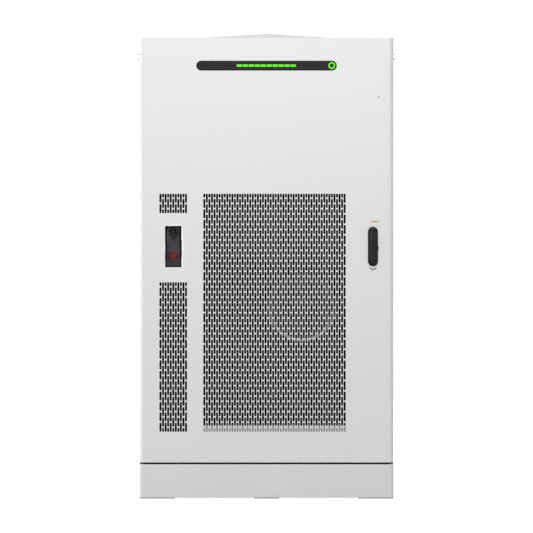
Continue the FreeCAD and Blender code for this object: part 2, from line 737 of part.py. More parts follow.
def make_side_rails():
    """Four rails that join the two frames, and a bar across the roof."""
    y0 = BODY_Y + FRAME_DEPTH
    y1 = FRAME_REAR_Y - FRAME_DEPTH
    rails = []
    for side in (-1, 1):
        x0 = min(side * FRAME_HALF, side * (FRAME_HALF - RAIL_SIZE))
        rails.append(box(x0, x0 + RAIL_SIZE, y0, y1, PLINTH_TOP_Z, PLINTH_TOP_Z + RAIL_SIZE))
        rails.append(box(x0, x0 + RAIL_SIZE, y0, y1, FRAME_TOP_Z - RAIL_SIZE, FRAME_TOP_Z))
    inner = FRAME_HALF - RAIL_SIZE
    rails.append(box(-inner, inner, 0, RAIL_SIZE, FRAME_TOP_Z - RAIL_SIZE, FRAME_TOP_Z))
    return solids_of(rails)


def make_side_panel(side):
    """Side sheet with a large shallow pressed field."""
    y0 = BODY_Y
    y1 = FRAME_REAR_Y
    outer = side * HALF_WIDTH
    inner = side * FRAME_HALF
    sheet = box(min(outer, inner), max(outer, inner), y0, y1, PLINTH_TOP_Z, SKIRT_LOW_Z)
    field_y0 = y0 + PANEL_PRESS_INSET
    field_y1 = y1 - PANEL_PRESS_INSET
    field_z0 = PLINTH_TOP_Z + PANEL_PRESS_INSET
    field_z1 = SKIRT_LOW_Z - PANEL_PRESS_INSET

    def field(x0, x1, margin):
        block = box(
            min(x0, x1),
            max(x0, x1),
            field_y0 + margin,
            field_y1 - margin,
            field_z0 + margin,
            field_z1 - margin,
        )
        corners = [
            edge
            for edge in block.Edges
            if edge.BoundBox.YLength < 1e-6 and edge.BoundBox.ZLength < 1e-6
        ]
        return block.makeFillet(PANEL_PRESS_RADIUS - margin, corners)

    bump = field(inner, inner - side * PANEL_PRESS_DEPTH, 0)
    recess = field(outer, inner - side * (PANEL_PRESS_DEPTH - SHEET), SHEET)
    return fuse(sheet, bump).cut(recess)


def make_rear_panel():
    """Rear sheet with two fields of air slots."""
    panel = box(-HALF_WIDTH, HALF_WIDTH, FRAME_REAR_Y, REAR_Y, PLINTH_TOP_Z, SKIRT_LOW_Z)
    slots = []
    for centre_x, centre_z in VENT_CENTRES:
        for row in range(VENT_ROWS):
            z = centre_z + (row - (VENT_ROWS - 1) / 2) * VENT_PITCH
            x0 = centre_x - VENT_SLOT[0] / 2
            z0 = z - VENT_SLOT[1] / 2
            slots.append(box(x0, x0 + VENT_SLOT[0], FRAME_REAR_Y, REAR_Y, z0, z0 + VENT_SLOT[1]))
    return panel.cut(solids_of(slots))


def pyramid(half, y0, y1, z, apex_z):
    """Low four-sided roof form with its point over the middle."""
    base = polygon_wire([(-half, y0, z), (half, y0, z), (half, y1, z), (-half, y1, z)])
    apex = Part.Vertex(0, (y0 + y1) / 2, apex_z)
    return Part.makeLoft([base, apex], True, True)


def make_roof_cover():
    """Cross-broken roof sheet that rises to its middle, with a skirt all round."""
    z0 = SKIRT_LOW_Z
    apex = EAVES_Z + ROOF_RISE
    skirt = box(-HALF_WIDTH, HALF_WIDTH, BODY_Y, REAR_Y, z0, EAVES_Z)
    outer = fuse(skirt, pyramid(HALF_WIDTH, BODY_Y, REAR_Y, EAVES_Z, apex))
    hollow = box(-FRAME_HALF, FRAME_HALF, BODY_Y, FRAME_REAR_Y, z0, FRAME_TOP_Z)
    attic = pyramid(FRAME_HALF, BODY_Y + SHEET, FRAME_REAR_Y, FRAME_TOP_Z, apex - SHEET)
    return outer.cut(hollow).cut(attic)


def make_lifting_bolts():
    """Four hexagon bolts with washers, high on the two sides."""
    bolts = []
    for side in (-1, 1):
        for y in (FACE_Y + LIFT_BOLT_INSET, REAR_Y - LIFT_BOLT_INSET):
            seat = (side * HALF_WIDTH, y, LIFT_BOLT_Z)
            washer = cylinder(LIFT_WASHER_RADIUS, LIFT_WASHER_THICKNESS, seat, (side, 0, 0))
            start = (side * (HALF_WIDTH + LIFT_WASHER_THICKNESS), y, LIFT_BOLT_Z)
            head = hexagon(LIFT_BOLT_HEAD / 2, LIFT_BOLT_HEAD_HEIGHT, start, (side, 0, 0))
            bolts.append(fuse(washer, head))
    return solids_of(bolts)


def make_door_seal():
    """Foam strip on the front frame that the door closes on."""
    inner = OPENING_HALF + SEAL_INSET
    inner_low = OPENING_LOW_Z - SEAL_INSET
    inner_high = OPENING_TOP_Z + SEAL_INSET
    y0 = DOOR_REAR_Y + RUNNING_GAP
    ring = box(
        -inner - SEAL_WIDTH,
        inner + SEAL_WIDTH,
        y0,
        BODY_Y,
        inner_low - SEAL_WIDTH,
        inner_high + SEAL_WIDTH,
    )
    return ring.cut(box(-inner, inner, y0, BODY_Y, inner_low, inner_high))


# Hinges and keepers


def make_hinge_arm(z):
    """Fixed arm with its base plate and a pin that stands out above and below."""
    half = HINGE_ARM_HEIGHT / 2
    plate_width, plate_height, plate_thickness = HINGE_BASE
    plate_x = HINGE_X - HINGE_EYE_RADIUS
    plate = box(
        plate_x,
        plate_x + plate_width,
        BODY_Y - plate_thickness,
        BODY_Y,
        z - plate_height / 2,
        z + plate_height / 2,
    )
    arm = box(HINGE_X - HINGE_EYE_RADIUS, HINGE_X + HINGE_EYE_RADIUS, HINGE_Y, BODY_Y, z - half, z + half)
    eye = cylinder(HINGE_EYE_RADIUS, HINGE_ARM_HEIGHT, (HINGE_X, HINGE_Y, z - half), (0, 0, 1))
    pin_half = half + HINGE_KNUCKLE_HEIGHT
    pin = cylinder(HINGE_PIN_RADIUS, 2 * pin_half, (HINGE_X, HINGE_Y, z - pin_half), (0, 0, 1))
    return fuse(plate, arm, eye, pin)


def make_hinge_arms():
    """Three fixed hinge arms with their pins."""
    return solids_of([make_hinge_arm(z) for z in HINGE_HEIGHTS])


def make_knuckle(z0):
    """Door knuckle that turns on a hinge pin."""
    y0 = HINGE_Y - HINGE_KNUCKLE_RADIUS
    y1 = HINGE_Y + HINGE_KNUCKLE_RADIUS
    block = box(HINGE_X, -DOOR_FRAME_OUTER, y0, y1, z0, z0 + HINGE_KNUCKLE_HEIGHT)
    eye = cylinder(HINGE_KNUCKLE_RADIUS, HINGE_KNUCKLE_HEIGHT, (HINGE_X, HINGE_Y, z0), (0, 0, 1))
    bore = cylinder(HINGE_PIN_RADIUS + PIN_CLEARANCE, HINGE_KNUCKLE_HEIGHT, (HINGE_X, HINGE_Y, z0), (0, 0, 1))
    return fuse(block, eye).cut(bore)


def make_keeper(z0, z1):
    """Saddle that is open to the front, which a lock rod slides into."""
    inner = ROD_WIDTH / 2 + KEEPER_CLEARANCE
    outer = inner + KEEPER_WALL
    back_y = ROD_Y + ROD_THICKNESS + KEEPER_CLEARANCE
    block = box(LOCK_X - outer, LOCK_X + outer, BODY_Y, back_y + KEEPER_WALL, z0, z1)
    return block.cut(box(LOCK_X - inner, LOCK_X + inner, BODY_Y, back_y, z0, z1))


def make_rod_keepers():
    """One keeper under the lintel and one on the sill."""
    return solids_of([
        make_keeper(OPENING_TOP_Z - KEEPER_LENGTH, OPENING_TOP_Z),
        make_keeper(OPENING_LOW_Z, OPENING_LOW_Z + KEEPER_LENGTH),
    ])


# Door


def slot_spans(low, high, rows, starts_half):
    """Heights of the slots in one column, with the bridges between them left whole."""
    pitch = (high - low + SLOT_BRIDGE) / rows
    start = low - SLOT_BRIDGE - (pitch / 2 if starts_half else 0)
    spans = []
    while start < high - SLOT_BRIDGE:
        span_low = max(low, start + SLOT_BRIDGE)
        span_high = min(high, start + pitch)
        if span_high - span_low > SLOT_WIDTH:
            spans.append((span_low, span_high))
        start += pitch
    return spans


def slot_field(first_x, columns, low, high, rows, first_starts_half):
    """Staggered vertical slots through the door sheet."""
    slots = []
    for column in range(columns):
        x = first_x + column * COLUMN_PITCH
        starts_half = (column % 2 == 0) == first_starts_half
        for z0, z1 in slot_spans(low, high, rows, starts_half):
            slots.append(box(x - SLOT_WIDTH / 2, x + SLOT_WIDTH / 2, FACE_Y, FACE_Y + SHEET, z0, z1))
    return slots


def make_door_skin():
    """Folded outer sheet of the door with its perforated fields and cut-outs."""
    outer = rounded_front_block(DOOR_HALF, FACE_Y, DOOR_REAR_Y, DOOR_LOW_Z, DOOR_TOP_Z, EDGE_RADIUS)
    inner = rounded_front_block(
        DOOR_HALF - SHEET,
        FACE_Y + SHEET,
        DOOR_REAR_Y,
        DOOR_LOW_Z + SHEET,
        DOOR_TOP_Z - SHEET,
        EDGE_RADIUS - SHEET,
    )
    skin = outer.cut(inner)
    cuts = slot_field(MAIN_FIRST_X, MAIN_COLUMNS, GRILLE_LOW_Z, GRILLE_HIGH_Z, MAIN_ROWS, True)
    cuts += slot_field(
        STRIP_FIRST_X, STRIP_COLUMNS, STRIP_UPPER_LOW_Z, GRILLE_HIGH_Z, STRIP_UPPER_ROWS, False
    )
    cuts += slot_field(
        STRIP_FIRST_X, STRIP_COLUMNS, GRILLE_LOW_Z, STRIP_LOWER_HIGH_Z, STRIP_LOWER_ROWS, False
    )
    cuts.append(
        obround(
            DISPLAY_LENGTH - 2 * DISPLAY_SPIGOT_INSET + 2 * RUNNING_GAP,
            DISPLAY_HEIGHT - 2 * DISPLAY_SPIGOT_INSET + 2 * RUNNING_GAP,
            0,
            DISPLAY_Z,
            FACE_Y,
            FACE_Y + SHEET,
        )
    )
    cuts.append(
        box(
            POCKET_X - POCKET_WIDTH / 2,
            POCKET_X + POCKET_WIDTH / 2,
            FACE_Y,
            FACE_Y + SHEET,
            POCKET_Z - POCKET_HEIGHT / 2,
            POCKET_Z + POCKET_HEIGHT / 2,
        )
    )
    cuts.append(cylinder(SPINDLE_RADIUS + 1, SHEET, (LOCK_X, FACE_Y, SPINDLE_Z), (0, 1, 0)))
    for z in HINGE_HEIGHTS:
        half = max(HINGE_ARM_HEIGHT / 2 + HINGE_KNUCKLE_HEIGHT, HINGE_BASE[1] / 2) + HINGE_NOTCH_MARGIN
        cuts.append(
            box(
                -DOOR_HALF,
                -DOOR_HALF + 2 * SHEET,
                DOOR_REAR_Y - HINGE_NOTCH_DEPTH,
                DOOR_REAR_Y,
                z - half,
                z + half,
            )
        )
    return skin.cut(solids_of(cuts))


def make_door_frame():
    """Stiffening ring of channel inside the door, its cross members and hinge knuckles."""
    low = DOOR_LOW_Z + DOOR_FRAME_END_GAP
    high = DOOR_TOP_Z - DOOR_FRAME_END_GAP
    front_y = FACE_Y + SHEET
    ring = channel_ring(
        DOOR_FRAME_OUTER,
        DOOR_FRAME_INNER,
        low,
        high,
        low + DOOR_FRAME_MEMBER,
        high - DOOR_FRAME_MEMBER,
        front_y,
        DOOR_REAR_Y,
        False,
    )
    pieces = []
    for z in (DOOR_CROSS_LOW_Z, DOOR_CROSS_HIGH_Z):
        cross = box(-DOOR_FRAME_INNER, DOOR_FRAME_INNER, front_y, CLIMATE_Y, z, z + DOOR_CROSS_HEIGHT)
        trough = box(
            -DOOR_FRAME_INNER,
            DOOR_FRAME_INNER,
            front_y,
            CLIMATE_Y - SHEET,
            z + SHEET,
            z + DOOR_CROSS_HEIGHT - SHEET,
        )
        pieces.append(cross.cut(trough))
    for z in HINGE_HEIGHTS:
        gap = HINGE_ARM_HEIGHT / 2 + RUNNING_GAP
        pieces.append(make_knuckle(z + gap))
        pieces.append(make_knuckle(z - gap - HINGE_KNUCKLE_HEIGHT))
    return fuse(ring, *pieces)


def light_spans():
    """Left and right end of each lit segment."""
    first = LIGHT_CENTRE_X - LIGHT_PITCH * (LIGHT_COUNT - 1) / 2
    centres = [first + LIGHT_PITCH * index for index in range(LIGHT_COUNT)]
    return [(centre - LIGHT_WIDTH / 2, centre + LIGHT_WIDTH / 2) for centre in centres]


def make_display_bezel():
    """Obround black display strip with a shallow recess, light windows and a button bore."""
    front_y = FACE_Y - DISPLAY_PROUD
    flange = obround(DISPLAY_LENGTH, DISPLAY_HEIGHT, 0, DISPLAY_Z, front_y, FACE_Y)
    spigot = obround(
        DISPLAY_LENGTH - 2 * DISPLAY_SPIGOT_INSET,
        DISPLAY_HEIGHT - 2 * DISPLAY_SPIGOT_INSET,
        0,
        DISPLAY_Z,
        FACE_Y,
        FACE_Y + DISPLAY_BACK,
    )
    recess = obround(
        DISPLAY_LENGTH - 2 * DISPLAY_RIM,
        DISPLAY_HEIGHT - 2 * DISPLAY_RIM,
        0,
        DISPLAY_Z,
        front_y,
        front_y + DISPLAY_RECESS,
    )
    floor_y = front_y + DISPLAY_RECESS
    cuts = [recess]
    for x0, x1 in light_spans():
        cuts.append(
            box(
                x0,
                x1,
                floor_y,
                floor_y + LIGHT_DEPTH,
                DISPLAY_Z - LIGHT_HEIGHT / 2,
                DISPLAY_Z + LIGHT_HEIGHT / 2,
            )
        )
    start = (RING_X, floor_y, DISPLAY_Z)
    cuts.append(cylinder(RING_OUTER, LIGHT_DEPTH, start, (0, 1, 0)))
    cuts.append(cylinder(RING_INNER, FACE_Y + DISPLAY_BACK - floor_y, start, (0, 1, 0)))
    return fuse(flange, spigot).cut(solids_of(cuts))


def make_display_lights():
    """Ten lit bars and the ring round the power button."""
    floor_y = FACE_Y - DISPLAY_PROUD + DISPLAY_RECESS
    lights = []
    for x0, x1 in light_spans():
        lights.append(
            box(
                x0,
                x1,
                floor_y,
                floor_y + LIGHT_DEPTH,
                DISPLAY_Z - LIGHT_HEIGHT / 2,
                DISPLAY_Z + LIGHT_HEIGHT / 2,
            )
        )
    lights.append(tube(RING_OUTER, RING_INNER, LIGHT_DEPTH, (RING_X, floor_y, DISPLAY_Z), (0, 1, 0)))
    return solids_of(lights)


def make_power_button():
    """Round push button inside the lit ring."""
    floor_y = FACE_Y - DISPLAY_PROUD + DISPLAY_RECESS
    return cylinder(POWER_BUTTON_RADIUS, POWER_BUTTON_LENGTH, (RING_X, floor_y, DISPLAY_Z), (0, 1, 0))


def make_switch_pocket():
    """Recessed box behind the door sheet with a pedestal for the two switches."""
    half_x = POCKET_WIDTH / 2
    half_z = POCKET_HEIGHT / 2
    front_y = FACE_Y + SHEET
    rear_y = FACE_Y + POCKET_DEPTH
    walls = box(
        POCKET_X - half_x - POCKET_WALL,
        POCKET_X + half_x + POCKET_WALL,
        front_y,
        rear_y,
        POCKET_Z - half_z - POCKET_WALL,
        POCKET_Z + half_z + POCKET_WALL,
    )
    flange = box(
        POCKET_X - half_x - POCKET_FLANGE,
        POCKET_X + half_x + POCKET_FLANGE,
        front_y,
        front_y + POCKET_WALL,
        POCKET_Z - half_z - POCKET_FLANGE,
        POCKET_Z + half_z + POCKET_FLANGE,
    )
    hollow = box(
        POCKET_X - half_x,
        POCKET_X + half_x,
        front_y,
        rear_y - POCKET_WALL,
        POCKET_Z - half_z,
        POCKET_Z + half_z,
    )
    pedestal = box(
        POCKET_X - PEDESTAL_WIDTH / 2,
        POCKET_X + PEDESTAL_WIDTH / 2,
        PEDESTAL_Y,
        rear_y - POCKET_WALL,
        POCKET_Z - PEDESTAL_HEIGHT / 2,
        POCKET_Z + PEDESTAL_HEIGHT / 2,
    )
    pocket = fuse(walls, flange).cut(hollow)
    stem_bore = cylinder(
        STOP_STEM_BASE + PIN_CLEARANCE, rear_y - PEDESTAL_Y, (POCKET_X, PEDESTAL_Y, STOP_Z), (0, 1, 0)
    )
    return fuse(pocket, pedestal).cut(stem_bore)


def make_switch_bodies():
    """Collars of the emergency stop and of the selector, on the pedestal."""
    stop = tube(
        STOP_COLLAR_RADIUS,
        STOP_STEM_RADIUS + RUNNING_GAP,
        STOP_COLLAR_HEIGHT,
        (POCKET_X, PEDESTAL_Y - STOP_COLLAR_HEIGHT, STOP_Z),
        (0, 1, 0),
    )
    selector = cylinder(
        SELECTOR_COLLAR_RADIUS,
        SELECTOR_COLLAR_HEIGHT,
        (POCKET_X, PEDESTAL_Y - SELECTOR_COLLAR_HEIGHT, SELECTOR_Z),
        (0, 1, 0),
    )
    return solids_of([stop, selector])


def make_stop_stem():
    """Plunger of the emergency stop, which slides in its collar."""
    head_rear_y = PEDESTAL_Y - STOP_HEAD_LIFT
    shaft = cylinder(STOP_STEM_BASE, STOP_HEAD_LIFT + STOP_TRAVEL, (POCKET_X, head_rear_y, STOP_Z), (0, 1, 0))
    shoulder_length = STOP_HEAD_LIFT - STOP_TRAVEL - RUNNING_GAP
    shoulder = cylinder(STOP_STEM_RADIUS, shoulder_length, (POCKET_X, head_rear_y, STOP_Z), (0, 1, 0))
    spigot_start = (POCKET_X, head_rear_y - STOP_HEAD_HEIGHT / 2, STOP_Z)
    spigot = cylinder(STOP_STEM_BASE, STOP_HEAD_HEIGHT / 2, spigot_start, (0, 1, 0))
    return fuse(shaft, shoulder, spigot)


def make_stop_button():
    """Mushroom head that is pressed, and twisted to let it out."""
    rear_y = PEDESTAL_Y - STOP_HEAD_LIFT - RUNNING_GAP
    front_y = rear_y - STOP_HEAD_HEIGHT
    outline = [
        (0, rear_y, 0),
        (STOP_HEAD_WAIST, rear_y, 0),
        (STOP_HEAD_WAIST, rear_y - STOP_HEAD_RIM, 0),
        (STOP_HEAD_RADIUS, rear_y - STOP_HEAD_RIM, 0),
        (STOP_HEAD_RADIUS, front_y + STOP_HEAD_BEVEL, 0),
        (STOP_HEAD_CROWN, front_y, 0),
        (0, front_y, 0),
    ]
    head = turned(outline, (0, 1, 0))
    head.translate(FreeCAD.Vector(POCKET_X, 0, STOP_Z))
    socket_length = STOP_HEAD_HEIGHT / 2 + RUNNING_GAP
    socket = cylinder(
        STOP_STEM_BASE + PIN_CLEARANCE, socket_length, (POCKET_X, rear_y - socket_length, STOP_Z), (0, 1, 0)
    )
    return head.cut(socket)


def make_selector_knob():
    """Rotary selector with a grip that points down."""
    rear_y = PEDESTAL_Y - SELECTOR_COLLAR_HEIGHT - RUNNING_GAP
    front_y = rear_y - SELECTOR_KNOB_HEIGHT
    disc = cylinder(SELECTOR_KNOB_RADIUS, SELECTOR_KNOB_HEIGHT, (POCKET_X, front_y, SELECTOR_Z), (0, 1, 0))
    grip_top = SELECTOR_KNOB_RADIUS - SHEET
    grip_height = SELECTOR_GRIP_REACH + grip_top
    grip_z = SELECTOR_Z + grip_top - grip_height / 2
    grip = obround(SELECTOR_GRIP_WIDTH, grip_height, POCKET_X, grip_z, rear_y - SELECTOR_GRIP_HEIGHT, rear_y)
    return fuse(disc, grip)


def make_window_cover():
    """Clear cover with a turned rim, a finger tab on the right and one long knuckle."""
    half_z = POCKET_HEIGHT / 2 + COVER_OVERLAP
    front_y = COVER_REAR_Y - COVER_THICKNESS
    plate = rounded_block(
        COVER_LEFT_X, COVER_RIGHT_X, front_y, COVER_REAR_Y, POCKET_Z - half_z, POCKET_Z + half_z, COVER_RIM
    )
    tab_reach = COVER_TAB_WIDTH + COVER_RIM
    tab = rounded_block(
        COVER_RIGHT_X - COVER_RIM,
        COVER_RIGHT_X - COVER_RIM + tab_reach,
        front_y,
        COVER_REAR_Y,
        COVER_TAB_Z - COVER_TAB_HEIGHT / 2,
        COVER_TAB_Z + COVER_TAB_HEIGHT / 2,
        COVER_RIM,
    )
    pieces = [tab]
    bores = []
    for z in (POCKET_Z - COVER_KNUCKLE_OFFSET, POCKET_Z + COVER_KNUCKLE_OFFSET):
        z0 = z - COVER_KNUCKLE_HEIGHT / 2
        start = (COVER_HINGE_X, COVER_HINGE_Y, z0)
        pieces.append(cylinder(COVER_KNUCKLE_RADIUS, COVER_KNUCKLE_HEIGHT, start, (0, 0, 1)))
        z1 = z0 + COVER_KNUCKLE_HEIGHT
        pieces.append(box(COVER_HINGE_X, COVER_LEFT_X + COVER_RIM, front_y, COVER_REAR_Y, z0, z1))
        bores.append(cylinder(COVER_PIN_RADIUS + PIN_CLEARANCE, COVER_KNUCKLE_HEIGHT, start, (0, 0, 1)))
    return fuse(plate, *pieces).cut(solids_of(bores))


def make_window_hinge():
    """Two lugs each side of each cover knuckle, with the pin between them."""
    hinges = []
    for z in (POCKET_Z - COVER_KNUCKLE_OFFSET, POCKET_Z + COVER_KNUCKLE_OFFSET):
        reach = COVER_KNUCKLE_HEIGHT / 2 + RUNNING_GAP
        pieces = []
        for z0 in (z - reach - COVER_LUG_HEIGHT, z + reach):
            lug_start = (COVER_HINGE_X, COVER_HINGE_Y, z0)
            pieces.append(cylinder(COVER_KNUCKLE_RADIUS, COVER_LUG_HEIGHT, lug_start, (0, 0, 1)))
            pieces.append(
                box(
                    COVER_HINGE_X - COVER_KNUCKLE_RADIUS,
                    COVER_HINGE_X + COVER_KNUCKLE_RADIUS - RUNNING_GAP,
                    COVER_HINGE_Y,
                    FACE_Y,
                    z0,
                    z0 + COVER_LUG_HEIGHT,
                )
            )
        pin_half = reach + COVER_LUG_HEIGHT
        pin = cylinder(
            COVER_PIN_RADIUS, 2 * pin_half, (COVER_HINGE_X, COVER_HINGE_Y, z - pin_half), (0, 0, 1)
        )
        hinges.append(fuse(pin, *pieces))
    return solids_of(hinges)


# Swing handle and lock


def make_lock_plate():
    """Obround handle plate with a raised cap above the lever."""
    plate = obround(LOCK_PLATE_WIDTH, LOCK_PLATE_HEIGHT, LOCK_X, LOCK_Z, PLATE_FRONT_Y, FACE_Y)
    cap = obround(LOCK_PLATE_WIDTH, LOCK_PLATE_HEIGHT, LOCK_X, LOCK_Z, LEVER_FRONT_Y + SHEET, PLATE_FRONT_Y)
    below = box(
        LOCK_X - LOCK_PLATE_WIDTH,
        LOCK_X + LOCK_PLATE_WIDTH,
        LEVER_FRONT_Y,
        PLATE_FRONT_Y,
        LOCK_Z - LOCK_PLATE_HEIGHT,
        SPINDLE_Z + LEVER_WIDTH / 2 + LEVER_SIDE_GAP,
    )
    cap = cap.cut(below)
    bore_start = (LOCK_X, PLATE_FRONT_Y, SPINDLE_Z)
    bore = cylinder(SPINDLE_RADIUS + PIN_CLEARANCE, LOCK_PLATE_THICKNESS, bore_start, (0, 1, 0))
    return fuse(plate, cap).cut(bore)


def pinion_outline(y):
    """Toothed outline round the spindle, with a tooth facing each rack."""
    points = []
    root = PITCH_RADIUS - TOOTH_DEDENDUM
    tip = PITCH_RADIUS + TOOTH_ADDENDUM
    half_pitch_width = (TOOTH_PITCH / 2 - TOOTH_THINNING) / 2
    slope = math.tan(math.radians(20))
    half_root = half_pitch_width + TOOTH_DEDENDUM * slope
    half_tip = half_pitch_width - TOOTH_ADDENDUM * slope
    for tooth in range(PINION_TEETH):
        centre = 2 * math.pi * tooth / PINION_TEETH
        corners = ((root, -half_root), (tip, -half_tip), (tip, half_tip), (root, half_root))
        for radius, across in corners:
            angle = centre + across / radius
            points.append((LOCK_X + radius * math.cos(angle), y, SPINDLE_Z + radius * math.sin(angle)))
    return points


def make_lock_spindle():
    """Spindle with the lever's tongue and pin at its front and a pinion at its back."""
    pinion_y = ROD_Y - (PINION_WIDTH - ROD_THICKNESS) / 2
    end_y = FACE_Y + LOCK_CASE_DEPTH
    start_y = PLATE_FRONT_Y - RUNNING_GAP
    shaft = cylinder(SPINDLE_RADIUS, end_y - start_y, (LOCK_X, start_y, SPINDLE_Z), (0, 1, 0))
    pinion = prism(pinion_outline(pinion_y), (0, PINION_WIDTH, 0))
    tongue = box(
        LOCK_X - TONGUE_WIDTH / 2,
        LOCK_X + TONGUE_WIDTH / 2,
        LEVER_PIVOT_Y,
        start_y,
        SPINDLE_Z - TONGUE_RADIUS,
        SPINDLE_Z + TONGUE_RADIUS,
    )
    barrel = cylinder(
        TONGUE_RADIUS, TONGUE_WIDTH, (LOCK_X - TONGUE_WIDTH / 2, LEVER_PIVOT_Y, SPINDLE_Z), (1, 0, 0)
    )
    pin_length = LEVER_WIDTH - 2 * SHEET
    pin = cylinder(
        LEVER_PIN_RADIUS, pin_length, (LOCK_X - pin_length / 2, LEVER_PIVOT_Y, SPINDLE_Z), (1, 0, 0)
    )
    return fuse(shaft, pinion, tongue, barrel, pin)


def make_lock_lever():
    """Lever that lifts at its lower end, forked round the tongue and bored for key and release."""
    half = LEVER_WIDTH / 2
    centre_z = (SPINDLE_Z + LEVER_LOW_Z) / 2
    reach = SPINDLE_Z - LEVER_LOW_Z + LEVER_WIDTH
    grip = obround(LEVER_WIDTH, reach, LOCK_X, centre_z + half, LEVER_FRONT_Y, LEVER_REAR_Y)
    grip = grip.cut(
        box(LOCK_X - half, LOCK_X + half, LEVER_FRONT_Y, LEVER_REAR_Y, SPINDLE_Z, SPINDLE_Z + 2 * LEVER_WIDTH)
    )
    rim = [edge for edge in edges_on_plane(grip, "Y", LEVER_FRONT_Y) if edge.BoundBox.ZMin < SPINDLE_Z - 1]
    grip = grip.makeChamfer(SHEET, rim)
    nose = cylinder(LEVER_THICKNESS / 2, LEVER_WIDTH, (LOCK_X - half, LEVER_PIVOT_Y, SPINDLE_Z), (1, 0, 0))
    slot_half = TONGUE_WIDTH / 2 + RUNNING_GAP
    slot = box(
        LOCK_X - slot_half,
        LOCK_X + slot_half,
        LEVER_FRONT_Y,
        LEVER_REAR_Y,
        SPINDLE_Z - TONGUE_SLOT_REACH,
        SPINDLE_Z + LEVER_THICKNESS,
    )
    pin_length = LEVER_WIDTH - 2 * SHEET + 2 * RUNNING_GAP
    pin_start = (LOCK_X - pin_length / 2, LEVER_PIVOT_Y, SPINDLE_Z)
    pin_bore = cylinder(LEVER_PIN_RADIUS + PIN_CLEARANCE, pin_length, pin_start, (1, 0, 0))
    key_bore = cylinder(
        KEY_RADIUS + PIN_CLEARANCE, LEVER_THICKNESS, (LOCK_X, LEVER_FRONT_Y, KEY_Z), (0, 1, 0)
    )
    release_depth = RELEASE_DEPTH + RELEASE_TRAVEL + RUNNING_GAP
    release_bore = cylinder(
        RELEASE_RADIUS + PIN_CLEARANCE, release_depth, (LOCK_X, LEVER_FRONT_Y, RELEASE_Z), (0, 1, 0)
    )
    return fuse(grip, nose).cut(solids_of([slot, pin_bore, key_bore, release_bore]))


def make_key_cylinder():
    """Round lock cylinder in the lever, with a key slot."""
    length = LEVER_THICKNESS - RUNNING_GAP
    plug = cylinder(KEY_RADIUS, length, (LOCK_X, LEVER_FRONT_Y, KEY_Z), (0, 1, 0))
    width, height, depth = KEY_SLOT
    slot = box(
        LOCK_X - width / 2,
        LOCK_X + width / 2,
        LEVER_FRONT_Y,
        LEVER_FRONT_Y + depth,
        KEY_Z - height / 2,
        KEY_Z + height / 2,
    )
    return plug.cut(slot)


def make_release_button():
    """Small push button that lets the lever spring out."""
    return cylinder(RELEASE_RADIUS, RELEASE_DEPTH, (LOCK_X, LEVER_FRONT_Y, RELEASE_Z), (0, 1, 0))


def rack_outline(side, y):
    """Toothed inner edge of one rack bar, with a gap opposite each pinion tooth."""
    pitch_x = LOCK_X + side * PITCH_RADIUS
    back_x = pitch_x + side * (TOOTH_DEDENDUM + RACK_BAR)
    slope = math.tan(math.radians(20))
    half_width = (TOOTH_PITCH / 2 - TOOTH_THINNING) / 2
    half_root = half_width + TOOTH_DEDENDUM * slope
    half_tip = half_width - TOOTH_ADDENDUM * slope
    root_x = pitch_x + side * TOOTH_DEDENDUM
    tip_x = pitch_x - side * TOOTH_ADDENDUM
    phase = 0.5 if side > 0 else 0.0
    count = int(RACK_HALF_LENGTH / TOOTH_PITCH)
    points = [(back_x, y, SPINDLE_Z - RACK_HALF_LENGTH), (root_x, y, SPINDLE_Z - RACK_HALF_LENGTH)]
    for index in range(-count, count):
        centre = SPINDLE_Z + (index + phase) * TOOTH_PITCH
        points += [
            (root_x, y, centre - half_root),
            (tip_x, y, centre - half_tip),
            (tip_x, y, centre + half_tip),
            (root_x, y, centre + half_root),
        ]
    points += [(root_x, y, SPINDLE_Z + RACK_HALF_LENGTH), (back_x, y, SPINDLE_Z + RACK_HALF_LENGTH)]
    return points


def make_lock_rod(side, up, end_z):
    """Lock rod with its toothed bar beside the pinion and a bridge to the middle."""
    rack = prism(rack_outline(side, ROD_Y), (0, ROD_THICKNESS, 0))
    back_x = LOCK_X + side * (PITCH_RADIUS + TOOTH_DEDENDUM + RACK_BAR)
    root_x = LOCK_X + side * (PITCH_RADIUS + TOOTH_DEDENDUM)
    tip_clearance = PITCH_RADIUS + TOOTH_ADDENDUM + ROD_TRAVEL + KEEPER_CLEARANCE
    bridge_z0 = SPINDLE_Z + up * tip_clearance
    bridge_z1 = bridge_z0 + up * ROD_WIDTH
    leg = box(
        min(root_x, back_x),
        max(root_x, back_x),
        ROD_Y,
        ROD_Y + ROD_THICKNESS,
        min(SPINDLE_Z, bridge_z1),
        max(SPINDLE_Z, bridge_z1),
    )
    inner_x = LOCK_X - side * ROD_WIDTH / 2
    bridge = box(
        min(inner_x, back_x),
        max(inner_x, back_x),
        ROD_Y,
        ROD_Y + ROD_THICKNESS,
        min(bridge_z0, bridge_z1),
        max(bridge_z0, bridge_z1),
    )
    bar = box(
        LOCK_X - ROD_WIDTH / 2,
        LOCK_X + ROD_WIDTH / 2,
        ROD_Y,
        ROD_Y + ROD_THICKNESS,
        min(bridge_z0, end_z),
        max(bridge_z0, end_z),
    )
    return fuse(rack, leg, bridge, bar)


def make_upper_rod():
    """Rod that goes up into the lintel's keeper."""
    return make_lock_rod(1, 1, ROD_TOP_Z)


def make_lower_rod():
    """Rod that goes down into the sill's keeper."""
    return make_lock_rod(-1, -1, ROD_LOW_Z)


